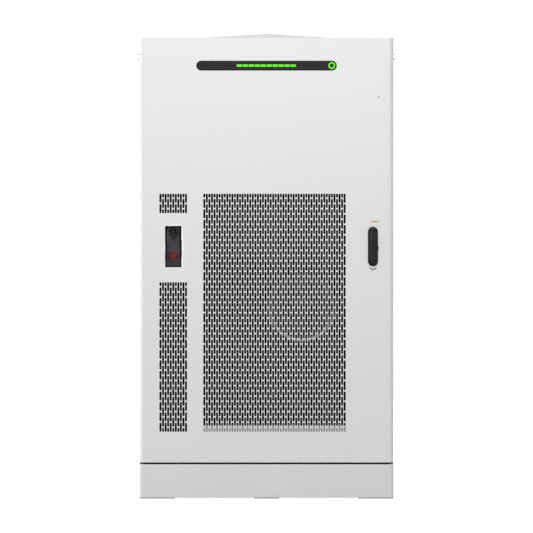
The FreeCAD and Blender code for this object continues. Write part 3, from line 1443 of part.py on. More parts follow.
def make_lock_case():
    """Gear case of bent sheet behind the handle, open at its top and bottom for the racks."""
    y0 = FACE_Y + SHEET
    y1 = FACE_Y + LOCK_CASE_DEPTH
    z0 = SPINDLE_Z - LOCK_CASE_HALF_HEIGHT
    z1 = SPINDLE_Z + LOCK_CASE_HALF_HEIGHT
    case = box(LOCK_X - LOCK_CASE_HALF_WIDTH, LOCK_X + LOCK_CASE_HALF_WIDTH, y0, y1, z0, z1)
    inner = LOCK_CASE_HALF_WIDTH - LOCK_CASE_WALL
    hollow = box(LOCK_X - inner, LOCK_X + inner, y0 + LOCK_CASE_WALL, y1 - LOCK_CASE_WALL, z0, z1)
    bore = cylinder(SPINDLE_RADIUS + PIN_CLEARANCE, y1 - y0, (LOCK_X, y0, SPINDLE_Z), (0, 1, 0))
    return case.cut(hollow).cut(bore)


def make_rod_guide(z, mount_y):
    """Bracket with a square eye that a lock rod slides through."""
    inner = ROD_WIDTH / 2 + ROD_GUIDE_CLEARANCE
    outer = inner + ROD_GUIDE_WALL
    y1 = ROD_Y + ROD_THICKNESS + ROD_GUIDE_CLEARANCE + ROD_GUIDE_WALL
    z0 = z - ROD_GUIDE_HEIGHT / 2
    z1 = z + ROD_GUIDE_HEIGHT / 2
    block = box(LOCK_X - outer, LOCK_X + outer, mount_y, y1, z0, z1)
    eye = box(
        LOCK_X - inner,
        LOCK_X + inner,
        ROD_Y - ROD_GUIDE_CLEARANCE,
        ROD_Y + ROD_THICKNESS + ROD_GUIDE_CLEARANCE,
        z0,
        z1,
    )
    return block.cut(eye)


def make_rod_guides():
    """Four guides, two on the cross members and two on the door sheet."""
    upper_z = DOOR_CROSS_HIGH_Z + DOOR_CROSS_HEIGHT / 2
    lower_z = DOOR_CROSS_LOW_Z + DOOR_CROSS_HEIGHT / 2
    sheet_y = FACE_Y + SHEET
    return solids_of([
        make_rod_guide(lower_z + ROD_GUIDE_HEIGHT / 4, CLIMATE_Y),
        make_rod_guide(upper_z, CLIMATE_Y),
        make_rod_guide((upper_z + ROD_TOP_Z) / 2, sheet_y),
        make_rod_guide((lower_z + SPINDLE_Z) / 2, sheet_y),
    ])


# Climate unit


def climate_vents(x0, x1, z0):
    """Air slots through the back of the case, in rows that start at one height."""
    y0 = CLIMATE_REAR_Y - SHEET
    heights = [z0 + row * VENT_PITCH for row in range(CLIMATE_VENT_ROWS)]
    return [box(x0, x1, y0, CLIMATE_REAR_Y, z, z + VENT_SLOT[1]) for z in heights]


def make_climate_case():
    """Case of the climate unit: folded back cover, front plate, bulkhead and fan motor."""
    front_y = CLIMATE_Y + SHEET
    x0 = CLIMATE_LEFT_X + SHEET
    x1 = CLIMATE_RIGHT_X - SHEET
    z0 = CLIMATE_LOW_Z + SHEET
    z1 = CLIMATE_HIGH_Z - SHEET
    cover = box(CLIMATE_LEFT_X, CLIMATE_RIGHT_X, front_y, CLIMATE_REAR_Y, CLIMATE_LOW_Z, CLIMATE_HIGH_Z)
    cover = cover.cut(box(x0, x1, front_y, CLIMATE_REAR_Y - SHEET, z0, z1))
    vent_x0 = CLIMATE_LEFT_X + CLIMATE_VENT_MARGIN
    vent_x1 = CLIMATE_RIGHT_X - CLIMATE_VENT_MARGIN
    vents = climate_vents(vent_x0, vent_x1, CLIMATE_LOW_Z + 2 * COIL_MARGIN)
    vents += climate_vents(
        vent_x0, vent_x1, CLIMATE_HIGH_Z - 2 * COIL_MARGIN - CLIMATE_VENT_ROWS * VENT_PITCH
    )
    plate = box(CLIMATE_LEFT_X, CLIMATE_RIGHT_X, CLIMATE_Y, front_y, CLIMATE_LOW_Z, CLIMATE_HIGH_Z)
    fan_hole = cylinder(FAN_RADIUS + FAN_HOLE_CLEARANCE, SHEET, (FAN_X, CLIMATE_Y, FAN_Z), (0, 1, 0))
    window = box(
        CLIMATE_LEFT_X + 2 * COIL_MARGIN,
        CLIMATE_RIGHT_X - 2 * COIL_MARGIN,
        CLIMATE_Y,
        front_y,
        COIL_LOW_Z + COIL_MARGIN,
        CLIMATE_HIGH_Z - 2 * COIL_MARGIN,
    )
    bulkhead = box(x0, x1, BULKHEAD_Y, BULKHEAD_Y + SHEET, z0, z1)
    motor_y = FAN_Y + FAN_HUB_LENGTH + RUNNING_GAP
    motor = cylinder(
        FAN_HUB_RADIUS * FAN_MOTOR_SHARE, BULKHEAD_Y - motor_y, (FAN_X, motor_y, FAN_Z), (0, 1, 0)
    )
    return solids_of([cover.cut(solids_of(vents)), plate.cut(fan_hole).cut(window), bulkhead, motor])


def make_climate_coil():
    """Finned block that rejects heat, standing on the bulkhead behind its window."""
    x0 = CLIMATE_LEFT_X + COIL_MARGIN
    x1 = CLIMATE_RIGHT_X - COIL_MARGIN
    z1 = CLIMATE_HIGH_Z - COIL_MARGIN
    y1 = BULKHEAD_Y
    coil = box(x0, x1, y1 - COIL_THICKNESS, y1, COIL_LOW_Z, z1)
    gap = (x1 - x0) / COIL_FINS / 2
    grooves = []
    for index in range(COIL_FINS):
        x = x0 + gap * (2 * index + 0.5)
        grooves.append(
            box(x, x + gap, y1 - COIL_THICKNESS, y1 - COIL_THICKNESS + COIL_FIN_DEPTH, COIL_LOW_Z, z1)
        )
    return coil.cut(solids_of(grooves))


def blade_section(radius, chord, lean, middle):
    """Bent outline of a fan blade at one radius, six-sided, in the plane across X."""
    camber = chord * BLADE_CAMBER
    half_thickness = chord * BLADE_THICKNESS / 2
    profile = [
        (-chord / 2, half_thickness),
        (0, camber + half_thickness),
        (chord / 2, half_thickness),
        (chord / 2, -half_thickness),
        (0, camber - half_thickness),
        (-chord / 2, -half_thickness),
    ]
    points = []
    for distance, offset in profile:
        tangent = distance * math.cos(lean) - offset * math.sin(lean)
        axial = distance * math.sin(lean) + offset * math.cos(lean)
        points.append((radius, middle + axial, tangent))
    return points


def make_rotor(x, y, z, hub_radius, hub_length, tip_radius, blades):
    """Axial fan rotor: a stepped hub and flaring blades."""
    middle = hub_length / 2
    span = tip_radius - hub_radius
    lean = math.radians(BLADE_PITCH)
    tip_chord = span * BLADE_TIP_CHORD
    tip_reach = math.sqrt(tip_radius ** 2 - (tip_chord / 2) ** 2)
    root_reach = hub_radius * math.cos(math.asin(span * BLADE_ROOT_CHORD / 2 / hub_radius)) - SHEET
    root = blade_section(root_reach, span * BLADE_ROOT_CHORD, lean, middle)
    tip = blade_section(tip_reach, tip_chord, lean, middle)
    blade = tapered(root, tip)
    step = hub_length / 6
    hub = cylinder(hub_radius, hub_length - step, (0, step, 0), (0, 1, 0))
    pieces = [cylinder(hub_radius - step, step, (0, 0, 0), (0, 1, 0))]
    for index in range(blades):
        copy = blade.copy()
        copy.rotate(FreeCAD.Vector(0, 0, 0), FreeCAD.Vector(0, 1, 0), index * 360 / blades)
        pieces.append(copy)
    rotor = fuse(hub, *pieces)
    rotor.translate(FreeCAD.Vector(x, y, z))
    return rotor


def make_climate_fan():
    """Large fan behind the door's perforated field."""
    return make_rotor(FAN_X, FAN_Y, FAN_Z, FAN_HUB_RADIUS, FAN_HUB_LENGTH, FAN_RADIUS, FAN_BLADES)


# Equipment inside


def module_low(index):
    """Height of a battery module's underside, counted from the lowest one."""
    return MODULE_FIRST_Z + index * MODULE_PITCH


def runner(x, side, top_z):
    """Angle that carries one side of a battery module."""
    points = [
        (x, RACK_FRONT_Y, top_z),
        (x + side * RUNNER_LEG, RACK_FRONT_Y, top_z),
        (x + side * RUNNER_LEG, RACK_FRONT_Y, top_z - RUNNER_THICKNESS),
        (x, RACK_FRONT_Y, top_z - RUNNER_THICKNESS),
    ]
    return prism(points, (0, RACK_DEPTH, 0))


def shelf(z):
    """Plate with a turned-down front lip, across the right-hand bay."""
    plate = box(
        RACK_MIDDLE + UPRIGHT_WALL,
        RACK_HALF_WIDTH - UPRIGHT_WALL,
        RACK_FRONT_Y + UPRIGHT_WALL,
        RACK_REAR_Y - UPRIGHT_WALL,
        z - SHELF_THICKNESS,
        z,
    )
    lip = box(
        RACK_MIDDLE + UPRIGHT_WALL,
        RACK_HALF_WIDTH - UPRIGHT_WALL,
        RACK_FRONT_Y + UPRIGHT_WALL,
        RACK_FRONT_Y + 2 * UPRIGHT_WALL,
        z - SHELF_LIP,
        z,
    )
    return fuse(plate, lip)


def side_sheet(x, side):
    """Thin side of a rack bay that its runners and shelves are fixed to."""
    x1 = x + side * UPRIGHT_WALL
    return box(min(x, x1), max(x, x1), RACK_FRONT_Y, RACK_REAR_Y, FLOOR_Z, RACK_TOP_Z)


def make_equipment_rack():
    """Two-bay rack: side sheets with runners for the modules and shelves for the rest."""
    pieces = [
        side_sheet(-RACK_HALF_WIDTH, 1),
        side_sheet(-RACK_MIDDLE, -1),
        side_sheet(RACK_MIDDLE, 1),
        side_sheet(RACK_HALF_WIDTH, -1),
    ]
    pieces.append(box(-RACK_MIDDLE, RACK_MIDDLE, RACK_FRONT_Y, RACK_FRONT_Y + UPRIGHT, FLOOR_Z, RACK_TOP_Z))
    for index in range(MODULE_COUNT + 1):
        top_z = module_low(index)
        pieces.append(runner(-RACK_HALF_WIDTH + UPRIGHT_WALL, 1, top_z))
        pieces.append(runner(-RACK_MIDDLE - UPRIGHT_WALL, -1, top_z))
    for z in (BREAKER_SHELF_Z, INVERTER_SHELF_Z, CONTROL_SHELF_Z):
        pieces.append(shelf(z))
    tie_z = RACK_TOP_Z - SHELF_THICKNESS
    pieces.append(
        box(-RACK_HALF_WIDTH, RACK_HALF_WIDTH, RACK_REAR_Y - UPRIGHT, RACK_REAR_Y, tie_z, RACK_TOP_Z)
    )
    return solids_of(pieces)


def terminal_places(z):
    """Left and right terminal centres of a module."""
    return [(BAY_LEFT_X + TERMINAL_INSET, z), (BAY_RIGHT_X - TERMINAL_INSET, z)]


def pull_handle(x, z, front_y):
    """Bow handle on a module's front."""
    reach_y = front_y - PULL_REACH
    outer = box(
        x - PULL_BAR / 2, x + PULL_BAR / 2, reach_y, front_y, z - PULL_HALF_HEIGHT, z + PULL_HALF_HEIGHT
    )
    inner = box(
        x - PULL_BAR / 2,
        x + PULL_BAR / 2,
        reach_y + PULL_BAR,
        front_y,
        z - PULL_HALF_HEIGHT + PULL_BAR,
        z + PULL_HALF_HEIGHT - PULL_BAR,
    )
    return outer.cut(inner)


def make_battery_module(index):
    """Sealed battery module: case, front flange, two terminals and two bow handles."""
    z0 = module_low(index)
    z1 = z0 + MODULE_HEIGHT
    case = box(BAY_LEFT_X, BAY_RIGHT_X, RACK_FRONT_Y, RACK_REAR_Y - UPRIGHT, z0, z1)
    flange = box(
        BAY_LEFT_X, BAY_RIGHT_X, MODULE_FRONT_Y, RACK_FRONT_Y, z0 + MODULE_CHAMFER, z1 - MODULE_CHAMFER
    )
    flange = flange.makeChamfer(MODULE_CHAMFER, edges_on_plane(flange, "Y", MODULE_FRONT_Y))
    pieces = [flange]
    middle_z = (z0 + z1) / 2
    for x, z in terminal_places(middle_z):
        terminal_start = (x, MODULE_FRONT_Y - TERMINAL_HEIGHT, z)
        pieces.append(cylinder(TERMINAL_RADIUS, TERMINAL_HEIGHT, terminal_start, (0, 1, 0)))
    for x in (BAY_LEFT_X + PULL_INSET, BAY_RIGHT_X - PULL_INSET):
        pieces.append(pull_handle(x, middle_z, MODULE_FRONT_Y))
    return fuse(case, *pieces)


def make_module_links():
    """Insulated bars that join the modules in series, on alternate sides."""
    links = []
    y1 = MODULE_FRONT_Y - TERMINAL_HEIGHT
    for index in range(MODULE_COUNT - 1):
        low = terminal_places(module_low(index) + MODULE_HEIGHT / 2)[index % 2]
        length = MODULE_PITCH + LINK_WIDTH
        centre_z = low[1] + MODULE_PITCH / 2
        links.append(obround(LINK_WIDTH, length, low[0], centre_z, y1 - LINK_THICKNESS, y1))
    return solids_of(links)


def make_high_voltage_box():
    """Switching box on top of the modules, with a collar for its isolator."""
    z0 = MODULE_TOP_Z
    z1 = z0 + HIGH_BOX_HEIGHT
    case = box(BAY_LEFT_X, BAY_RIGHT_X, MODULE_FRONT_Y, RACK_REAR_Y - UPRIGHT, z0, z1)
    case = case.makeChamfer(MODULE_CHAMFER, edges_on_plane(case, "Y", MODULE_FRONT_Y))
    middle_z = (z0 + z1) / 2
    pieces = []
    for x, z in terminal_places(middle_z):
        terminal_start = (x, MODULE_FRONT_Y - TERMINAL_HEIGHT, z)
        pieces.append(cylinder(TERMINAL_RADIUS, TERMINAL_HEIGHT, terminal_start, (0, 1, 0)))
    return fuse(case, *pieces)


def isolator_centre():
    """Axis of the isolator on the switching box."""
    return ((BAY_LEFT_X + BAY_RIGHT_X) / 2, MODULE_TOP_Z + HIGH_BOX_HEIGHT / 2)


def make_isolator_knob():
    """Rotary isolator with a bar grip."""
    x, z = isolator_centre()
    rear_y = MODULE_FRONT_Y - RUNNING_GAP
    disc = cylinder(ISOLATOR_RADIUS, ISOLATOR_HEIGHT, (x, rear_y - ISOLATOR_HEIGHT, z), (0, 1, 0))
    width, height = ISOLATOR_GRIP
    grip_y = rear_y - ISOLATOR_HEIGHT
    grip = obround(width, 2 * ISOLATOR_RADIUS - SHEET, x, z, grip_y - height, grip_y)
    return fuse(disc, grip)


def inverter_fans():
    """Centres of the two fans on the inverter's front."""
    z = INVERTER_SHELF_Z + INVERTER_HEIGHT - INVERTER_FAN_DROP
    return [(EAST_BAY_X - INVERTER_FAN_OFFSET, z), (EAST_BAY_X + INVERTER_FAN_OFFSET, z)]


def make_power_inverter():
    """Inverter with two fan wells, their motors and a ribbed lower front."""
    y0 = EQUIPMENT_FRONT_Y
    z0 = INVERTER_SHELF_Z
    z1 = z0 + INVERTER_HEIGHT
    case = box(EAST_BAY_LEFT_X, EAST_BAY_RIGHT_X, y0, y0 + INVERTER_DEPTH, z0, z1)
    case = case.makeChamfer(MODULE_CHAMFER, edges_on_plane(case, "Y", y0))
    cuts = []
    well_depth = INVERTER_FAN_LENGTH + FAN_SETBACK + UPRIGHT
    for x, z in inverter_fans():
        cuts.append(cylinder(INVERTER_FAN_RADIUS + FAN_HOLE_CLEARANCE, well_depth, (x, y0, z), (0, 1, 0)))
    rib_pitch = (EAST_BAY_RIGHT_X - EAST_BAY_LEFT_X - 4 * COIL_MARGIN) / INVERTER_FINS
    for index in range(INVERTER_FINS):
        x = EAST_BAY_LEFT_X + 2 * COIL_MARGIN + (index + 0.25) * rib_pitch
        cuts.append(
            box(x, x + rib_pitch / 2, y0, y0 + COIL_FIN_DEPTH, z0 + COIL_MARGIN, z0 + INVERTER_HEIGHT / 2)
        )
    case = case.cut(solids_of(cuts))
    motors = []
    for x, z in inverter_fans():
        motor_y = y0 + FAN_SETBACK + INVERTER_FAN_LENGTH + RUNNING_GAP
        motors.append(
            cylinder(
                INVERTER_FAN_HUB * FAN_MOTOR_SHARE, y0 + well_depth - motor_y, (x, motor_y, z), (0, 1, 0)
            )
        )
    return fuse(case, *motors)


def make_inverter_fan(index):
    """Small rotor in one of the inverter's wells."""
    x, z = inverter_fans()[index]
    y = EQUIPMENT_FRONT_Y + FAN_SETBACK
    return make_rotor(x, y, z, INVERTER_FAN_HUB, INVERTER_FAN_LENGTH, INVERTER_FAN_RADIUS, FAN_BLADES)


def breaker_front():
    """Front plane, centre and top of the breaker panel."""
    front_y = EQUIPMENT_FRONT_Y
    return front_y, EAST_BAY_X, BREAKER_SHELF_Z + BREAKER_SIZE[2]


def make_breaker_panel():
    """Breaker panel with a window that the main switch's toggle stands in."""
    front_y, x, top = breaker_front()
    width, depth, height = BREAKER_SIZE
    case = box(x - width / 2, x + width / 2, front_y, front_y + depth, BREAKER_SHELF_Z, top)
    case = case.makeChamfer(MODULE_CHAMFER, edges_on_plane(case, "Y", front_y))
    window_width, window_height, window_depth = TOGGLE_WINDOW
    z = BREAKER_SHELF_Z + height / 2
    window = box(
        x - window_width / 2,
        x + window_width / 2,
        front_y,
        front_y + window_depth,
        z - window_height / 2,
        z + window_height / 2,
    )
    pin_start = (x - window_width / 2, front_y + window_depth / 2, z)
    pin = cylinder(LEVER_PIN_RADIUS, window_width, pin_start, (1, 0, 0))
    return fuse(case.cut(window), pin)


def make_breaker_toggle():
    """Toggle of the main switch, on a cross pin."""
    front_y, x, _ = breaker_front()
    width, thickness, reach = TOGGLE_SIZE
    z = BREAKER_SHELF_Z + BREAKER_SIZE[2] / 2
    pivot_y = front_y + TOGGLE_WINDOW[2] / 2
    hub = cylinder(TOGGLE_PIVOT_RADIUS, width, (x - width / 2, pivot_y, z), (1, 0, 0))
    arm = box(x - width / 2, x + width / 2, pivot_y - reach, pivot_y, z - thickness / 2, z + thickness / 2)
    bore = cylinder(LEVER_PIN_RADIUS + PIN_CLEARANCE, width, (x - width / 2, pivot_y, z), (1, 0, 0))
    toggle = fuse(hub, arm).cut(bore)
    toggle.rotate(FreeCAD.Vector(x, pivot_y, z), FreeCAD.Vector(1, 0, 0), -TOGGLE_LEAN)
    return toggle


def make_control_unit():
    """Energy controller on its own shelf, with ventilation grooves."""
    width, depth, height = CONTROL_SIZE
    y0 = EQUIPMENT_FRONT_Y
    x = EAST_BAY_X
    case = box(x - width / 2, x + width / 2, y0, y0 + depth, CONTROL_SHELF_Z, CONTROL_SHELF_Z + height)
    case = case.makeChamfer(MODULE_CHAMFER, edges_on_plane(case, "Y", y0))
    grooves = []
    for index in range(CONTROL_GROOVES):
        z = CONTROL_SHELF_Z + CONTROL_GROOVE_START + index * CONTROL_GROOVE_PITCH
        top_z = z + CONTROL_GROOVE_PITCH / 2
        grooves.append(box(x - width / 4, x + width / 4, y0, y0 + MODULE_CHAMFER, z, top_z))
    return case.cut(solids_of(grooves))


def make_fire_canister():
    """Extinguishing canister that stands on the floor, with its neck and nozzle."""
    top = FLOOR_Z + CANISTER_HEIGHT
    outline = [
        (0, 0, FLOOR_Z),
        (CANISTER_RADIUS, 0, FLOOR_Z),
        (CANISTER_RADIUS, 0, top - CANISTER_SHOULDER),
        (CANISTER_NECK_RADIUS, 0, top),
        (CANISTER_NECK_RADIUS, 0, top + CANISTER_SHOULDER),
        (0, 0, top + CANISTER_SHOULDER),
    ]
    body = turned(outline, (0, 0, 1))
    nozzle_start = (0, 0, top + CANISTER_SHOULDER / 2)
    nozzle = cylinder(CANISTER_NOZZLE_RADIUS, CANISTER_RADIUS, nozzle_start, (0, -1, 0))
    canister = fuse(body, nozzle)
    canister.translate(FreeCAD.Vector(CANISTER_FROM_MIDDLE, RACK_FRONT_Y + CANISTER_SETBACK, 0))
    return canister


def make_smoke_detector():
    """Stepped detector under the bar across the roof."""
    top = FRAME_TOP_Z - RAIL_SIZE
    y = RAIL_SIZE / 2
    step = DETECTOR_HEIGHT / 3
    base = cylinder(DETECTOR_RADIUS, step, (0, y, top), (0, 0, -1))
    body = cylinder(DETECTOR_DOME_RADIUS, step, (0, y, top - step), (0, 0, -1))
    tip = cylinder(DETECTOR_TIP_RADIUS, step, (0, y, top - 2 * step), (0, 0, -1))
    return fuse(base, body, tip)


def make_earth_bar():
    """Copper bar on two posts, with a row of holes."""
    width, depth, height = EARTH_BAR_SIZE
    z0 = FLOOR_Z + EARTH_STANDOFF
    x0 = GLAND_X - width / 2
    bar = box(x0, x0 + width, EARTH_BAR_Y, EARTH_BAR_Y + depth, z0, z0 + height)
    holes = []
    for index in range(EARTH_HOLES):
        x = x0 + width * (index + 0.5) / EARTH_HOLES
        holes.append(cylinder(EARTH_HOLE_RADIUS, depth, (x, EARTH_BAR_Y, z0 + height / 2), (0, 1, 0)))
    posts = []
    for x in (x0 + 2 * depth, x0 + width - 3 * depth):
        posts.append(box(x, x + depth, EARTH_BAR_Y, EARTH_BAR_Y + depth, FLOOR_Z, z0))
    return fuse(bar, *posts).cut(solids_of(holes))


NODES = {
    "foot_pads": make_foot_pads,
    "base_frame": make_base_frame,
    "plinth_cover": make_plinth_cover,
    "floor_plate": make_floor_plate,
    "gland_plate": make_gland_plate,
    "cable_glands": make_cable_glands,
    "front_frame": make_front_frame,
    "rear_frame": make_rear_frame,
    "side_rails": make_side_rails,
    "left_side_panel": lambda: make_side_panel(-1),
    "right_side_panel": lambda: make_side_panel(1),
    "rear_panel": make_rear_panel,
    "roof_cover": make_roof_cover,
    "lifting_bolts": make_lifting_bolts,
    "door_seal": make_door_seal,
    "hinge_arms": make_hinge_arms,
    "rod_keepers": make_rod_keepers,
    "door_skin": make_door_skin,
    "door_frame": make_door_frame,
    "display_bezel": make_display_bezel,
    "display_lights": make_display_lights,
    "power_button": make_power_button,
    "switch_pocket": make_switch_pocket,
    "switch_bodies": make_switch_bodies,
    "stop_stem": make_stop_stem,
    "stop_button": make_stop_button,
    "selector_knob": make_selector_knob,
    "window_cover": make_window_cover,
    "window_hinge": make_window_hinge,
    "lock_plate": make_lock_plate,
    "lock_spindle": make_lock_spindle,
    "lock_lever": make_lock_lever,
    "key_cylinder": make_key_cylinder,
    "release_button": make_release_button,
    "upper_rod": make_upper_rod,
    "lower_rod": make_lower_rod,
    "lock_case": make_lock_case,
    "rod_guides": make_rod_guides,
    "climate_case": make_climate_case,
    "climate_coil": make_climate_coil,
    "climate_fan": make_climate_fan,
    "equipment_rack": make_equipment_rack,
    "module_links": make_module_links,
    "high_voltage_box": make_high_voltage_box,
    "isolator_knob": make_isolator_knob,
    "power_inverter": make_power_inverter,
    "inverter_fan_1": lambda: make_inverter_fan(0),
    "inverter_fan_2": lambda: make_inverter_fan(1),
    "breaker_panel": make_breaker_panel,
    "breaker_toggle": make_breaker_toggle,
    "control_unit": make_control_unit,
    "fire_canister": make_fire_canister,
    "smoke_detector": make_smoke_detector,
    "earth_bar": make_earth_bar,
}
for number in range(MODULE_COUNT):
    NODES["battery_module_%d" % (number + 1)] = lambda index=number: make_battery_module(index)

os.makedirs("parts", exist_ok=True)
for name, make in NODES.items():
    make().exportStep("parts/%s.step" % name)
    print(name)
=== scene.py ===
import json
import math

import bmesh
import bpy
from mathutils import Matrix, Vector


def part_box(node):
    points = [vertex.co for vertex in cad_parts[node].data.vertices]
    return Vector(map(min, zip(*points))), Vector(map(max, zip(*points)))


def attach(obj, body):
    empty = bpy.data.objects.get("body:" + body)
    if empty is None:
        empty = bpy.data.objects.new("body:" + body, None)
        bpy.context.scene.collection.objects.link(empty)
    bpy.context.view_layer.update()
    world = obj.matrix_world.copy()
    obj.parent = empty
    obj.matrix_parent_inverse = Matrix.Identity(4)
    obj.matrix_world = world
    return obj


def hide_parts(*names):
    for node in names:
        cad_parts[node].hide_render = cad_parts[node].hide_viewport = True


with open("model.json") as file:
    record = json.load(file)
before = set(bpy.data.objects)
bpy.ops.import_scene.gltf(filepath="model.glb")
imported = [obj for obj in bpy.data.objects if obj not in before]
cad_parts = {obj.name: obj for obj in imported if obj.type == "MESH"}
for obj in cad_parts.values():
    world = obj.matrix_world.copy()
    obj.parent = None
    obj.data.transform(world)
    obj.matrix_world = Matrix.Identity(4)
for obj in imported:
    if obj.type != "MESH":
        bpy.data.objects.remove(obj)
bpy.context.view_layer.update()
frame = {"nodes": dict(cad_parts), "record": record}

# Floor-standing battery cabinet, in metres: X to the right, Y to the back, Z up.

# Door sheet
SHEET = 0.002
EDGE_RADIUS = 0.0195
EDGE_STEPS = 8
EDGE_STRIP = 0.0015
SEAM_EASE = 0.0014
SLOT_WIDTH = 0.009
SLOT_BRIDGE = 0.0049
COLUMN_PITCH = 0.01104
HALF_ROW = 0.022525
GRILLE_LOW_Z = 0.2885
MAIN_FIRST_X = -0.269
MAIN_COLUMNS = 56
MAIN_HALF_ROWS = 46
STRIP_FIRST_X = -0.4587
STRIP_COLUMNS = 11
STRIP_LOWER_HALF_ROWS = 29
STRIP_UPPER_START = 42
ROWS = [GRILLE_LOW_Z - SLOT_BRIDGE / 2 + row * HALF_ROW for row in range(MAIN_HALF_ROWS + 1)]
ROUND_STEPS = 6
HINGE_NOTCH_DEPTH = 0.033
HINGE_NOTCH_HEIGHT = 0.1
HINGE_NOTCH_REACH = 0.004
HINGE_HEIGHTS = (0.33, 1.075, 1.8)
SILL_X = (-0.276, 0.352)
SILL_Z = (0.2705, 0.272, 0.3175)

# Display, switch recess and handle
BARS_MIDDLE_X = -0.001
RECESS_FLANGE = 0.01
PEDESTAL_SIZE = (0.0563, 0.1688)
PEDESTAL_FRONT = 0.037
SELECTOR_RISE = 0.0994
LEVER_CATCH_DROP = 0.0585
STRIPE_X = (0.452, 0.4855)
STRIPE_Z = (1.1955, 1.2015)
STUD_PLACE = (0.485, 1.737)

# Equipment
MODULES = 6
TERMINAL_STEP = 0.016
TERMINAL_INSET = 0.07
TERMINAL_BOLT = 0.0075
BELL_RADIUS = 0.1362

# Fans: angles in degrees, the rest as shares
BLADES = 7
BLADE_SWEEP = 14.0
BLADE_PITCH = 38.0
BLADE_UNTWIST = -1.8
BLADE_CHORD = 0.72
BLADE_BEND = 0.1
BLADE_WIDENING = 1.055
HUB_SHARE = {"climate_fan": 46 / 134, "inverter_fan_1": 20 / 62, "inverter_fan_2": 20 / 62}

# View and light
CAMERA_DISTANCE = 13.0
CAMERA_HEIGHT = 1.0043
PIXEL = 0.004327
PHOTO_WIDTH = 533
SENSOR = 36.0
WORLD_LEVEL = 0.3
FLOOR_GLOW = 0.86
WHITE = (1.0, 1.0, 1.0, 1.0)

# Meshes
FLAT_DEGREES = 0.5
CORNER_DEGREES = 32.0
VERT = bmesh.types.BMVert
EDGE = bmesh.types.BMEdge
FACE = bmesh.types.BMFace


# Node groups and materials


def feed(tree, socket, value):
    """Set an input, or link it where the value is another node's output."""
    if isinstance(value, bpy.types.NodeSocket):
        tree.links.new(value, socket)
    else:
        socket.default_value = value


def node(tree, kind, inputs=(), **settings):
    """New shader node with its settings and inputs."""
    made = tree.nodes.new(kind)
    for key, value in settings.items():
        setattr(made, key, value)
    for key, value in dict(inputs).items():
        feed(tree, made.inputs[key], value)
    return made


def math_node(tree, operation, *values):
    """Result of a sum on numbers or outputs."""
    return node(tree, "ShaderNodeMath", enumerate(values), operation=operation).outputs[0]


def mix_colour(tree, factor, first, second, blend="MIX"):
    """Mix of two colours."""
    inputs = {0: factor, 6: first, 7: second}
    return node(tree, "ShaderNodeMix", inputs, data_type="RGBA", blend_type=blend).outputs[2]


def shaded(tree, colour, shade):
    """Colour times a grey level."""
    grey = node(tree, "ShaderNodeCombineColor", enumerate((shade, shade, shade))).outputs[0]
    return mix_colour(tree, 1.0, colour, grey, "MULTIPLY")


def own_place(tree):
    """Coordinates of the object itself."""
    return node(tree, "ShaderNodeTexCoord").outputs["Object"]


def noise(tree, place, scale, detail=2.0, roughness=0.5):
    """Noise over a vector."""
    inputs = {"Vector": place, "Scale": scale, "Detail": detail, "Roughness": roughness}
    return node(tree, "ShaderNodeTexNoise", inputs).outputs["Fac"]


def relief(tree, height, depth):
    """Normal that follows a height."""
    inputs = {"Strength": 1.0, "Distance": depth, "Height": height}
    return node(tree, "ShaderNodeBump", inputs).outputs["Normal"]


def new_group(name, **inputs):
    """Shader group with its named inputs, and the sockets that give their values."""
    kinds = {1: "NodeSocketFloat", 3: "NodeSocketVector", 4: "NodeSocketColor"}
    group = bpy.data.node_groups.new(name, "ShaderNodeTree")
    for label, value in inputs.items():
        kind = kinds[1 if isinstance(value, float) else len(value)]
        group.interface.new_socket(name=label, in_out="INPUT", socket_type=kind).default_value = value
    return group, group.nodes.new("NodeGroupInput").outputs


def close_group(group, **outputs):
    """Give a group its named outputs."""
    kinds = {"VALUE": "NodeSocketFloat", "VECTOR": "NodeSocketVector", "RGBA": "NodeSocketColor"}
    for label, source in outputs.items():
        group.interface.new_socket(name=label, in_out="OUTPUT", socket_type=kinds[source.type])
    leave = group.nodes.new("NodeGroupOutput")
    for label, source in outputs.items():
        group.links.new(source, leave.inputs[label])
    return group


def build_surface_grain():
    """Colour drift, uneven gloss and fine relief that most finishes share."""
    group, given = new_group(
        "surface_grain",
        colour=(0.8, 0.8, 0.8, 1.0),
        drift=0.04,
        drift_scale=3.0,
        roughness=0.5,
        gloss_spread=0.08,
        grain_scale=700.0,
        grain_depth=0.00005,
    )
    place = own_place(group)
    broad = math_node(group, "SUBTRACT", noise(group, place, given["drift_scale"], 4.0, 0.55), 0.5)
    shade = math_node(group, "MULTIPLY_ADD", broad, given["drift"], 0.5)
    colour = shaded(group, given["colour"], math_node(group, "MULTIPLY", shade, 2.0))
    uneven = math_node(group, "SUBTRACT", noise(group, place, 38.0, 3.0, 0.6), 0.5)
    rough = math_node(group, "MULTIPLY_ADD", uneven, given["gloss_spread"], given["roughness"])
    normal = relief(group, noise(group, place, given["grain_scale"], 2.0, 0.6), given["grain_depth"])
    return close_group(group, colour=colour, roughness=rough, normal=normal)


def build_dust_and_sheen_mask():
    """Mask of thin dust, heavier on level faces and low down; a large amount makes it a painted highlight on
    upward faces.
    """
    group, given = new_group("dust_and_sheen_mask", amount=0.1)
    place = own_place(group)
    normal = node(group, "ShaderNodeNewGeometry").outputs["Normal"]
    facing, height = [node(group, "ShaderNodeSeparateXYZ", {0: way}).outputs["Z"] for way in (normal, place)]
    fade = {"Value": height, "From Min": 0.0, "From Max": 0.22, "To Min": 0.7, "To Max": 0.0}
    low = node(group, "ShaderNodeMapRange", fade).outputs[0]
    level = math_node(group, "MAXIMUM", math_node(group, "MAXIMUM", facing, 0.0), low)
    spread = math_node(group, "MULTIPLY", level, noise(group, place, 26.0, 5.0, 0.65))
    return close_group(group, mask=math_node(group, "MULTIPLY", spread, given["amount"]))


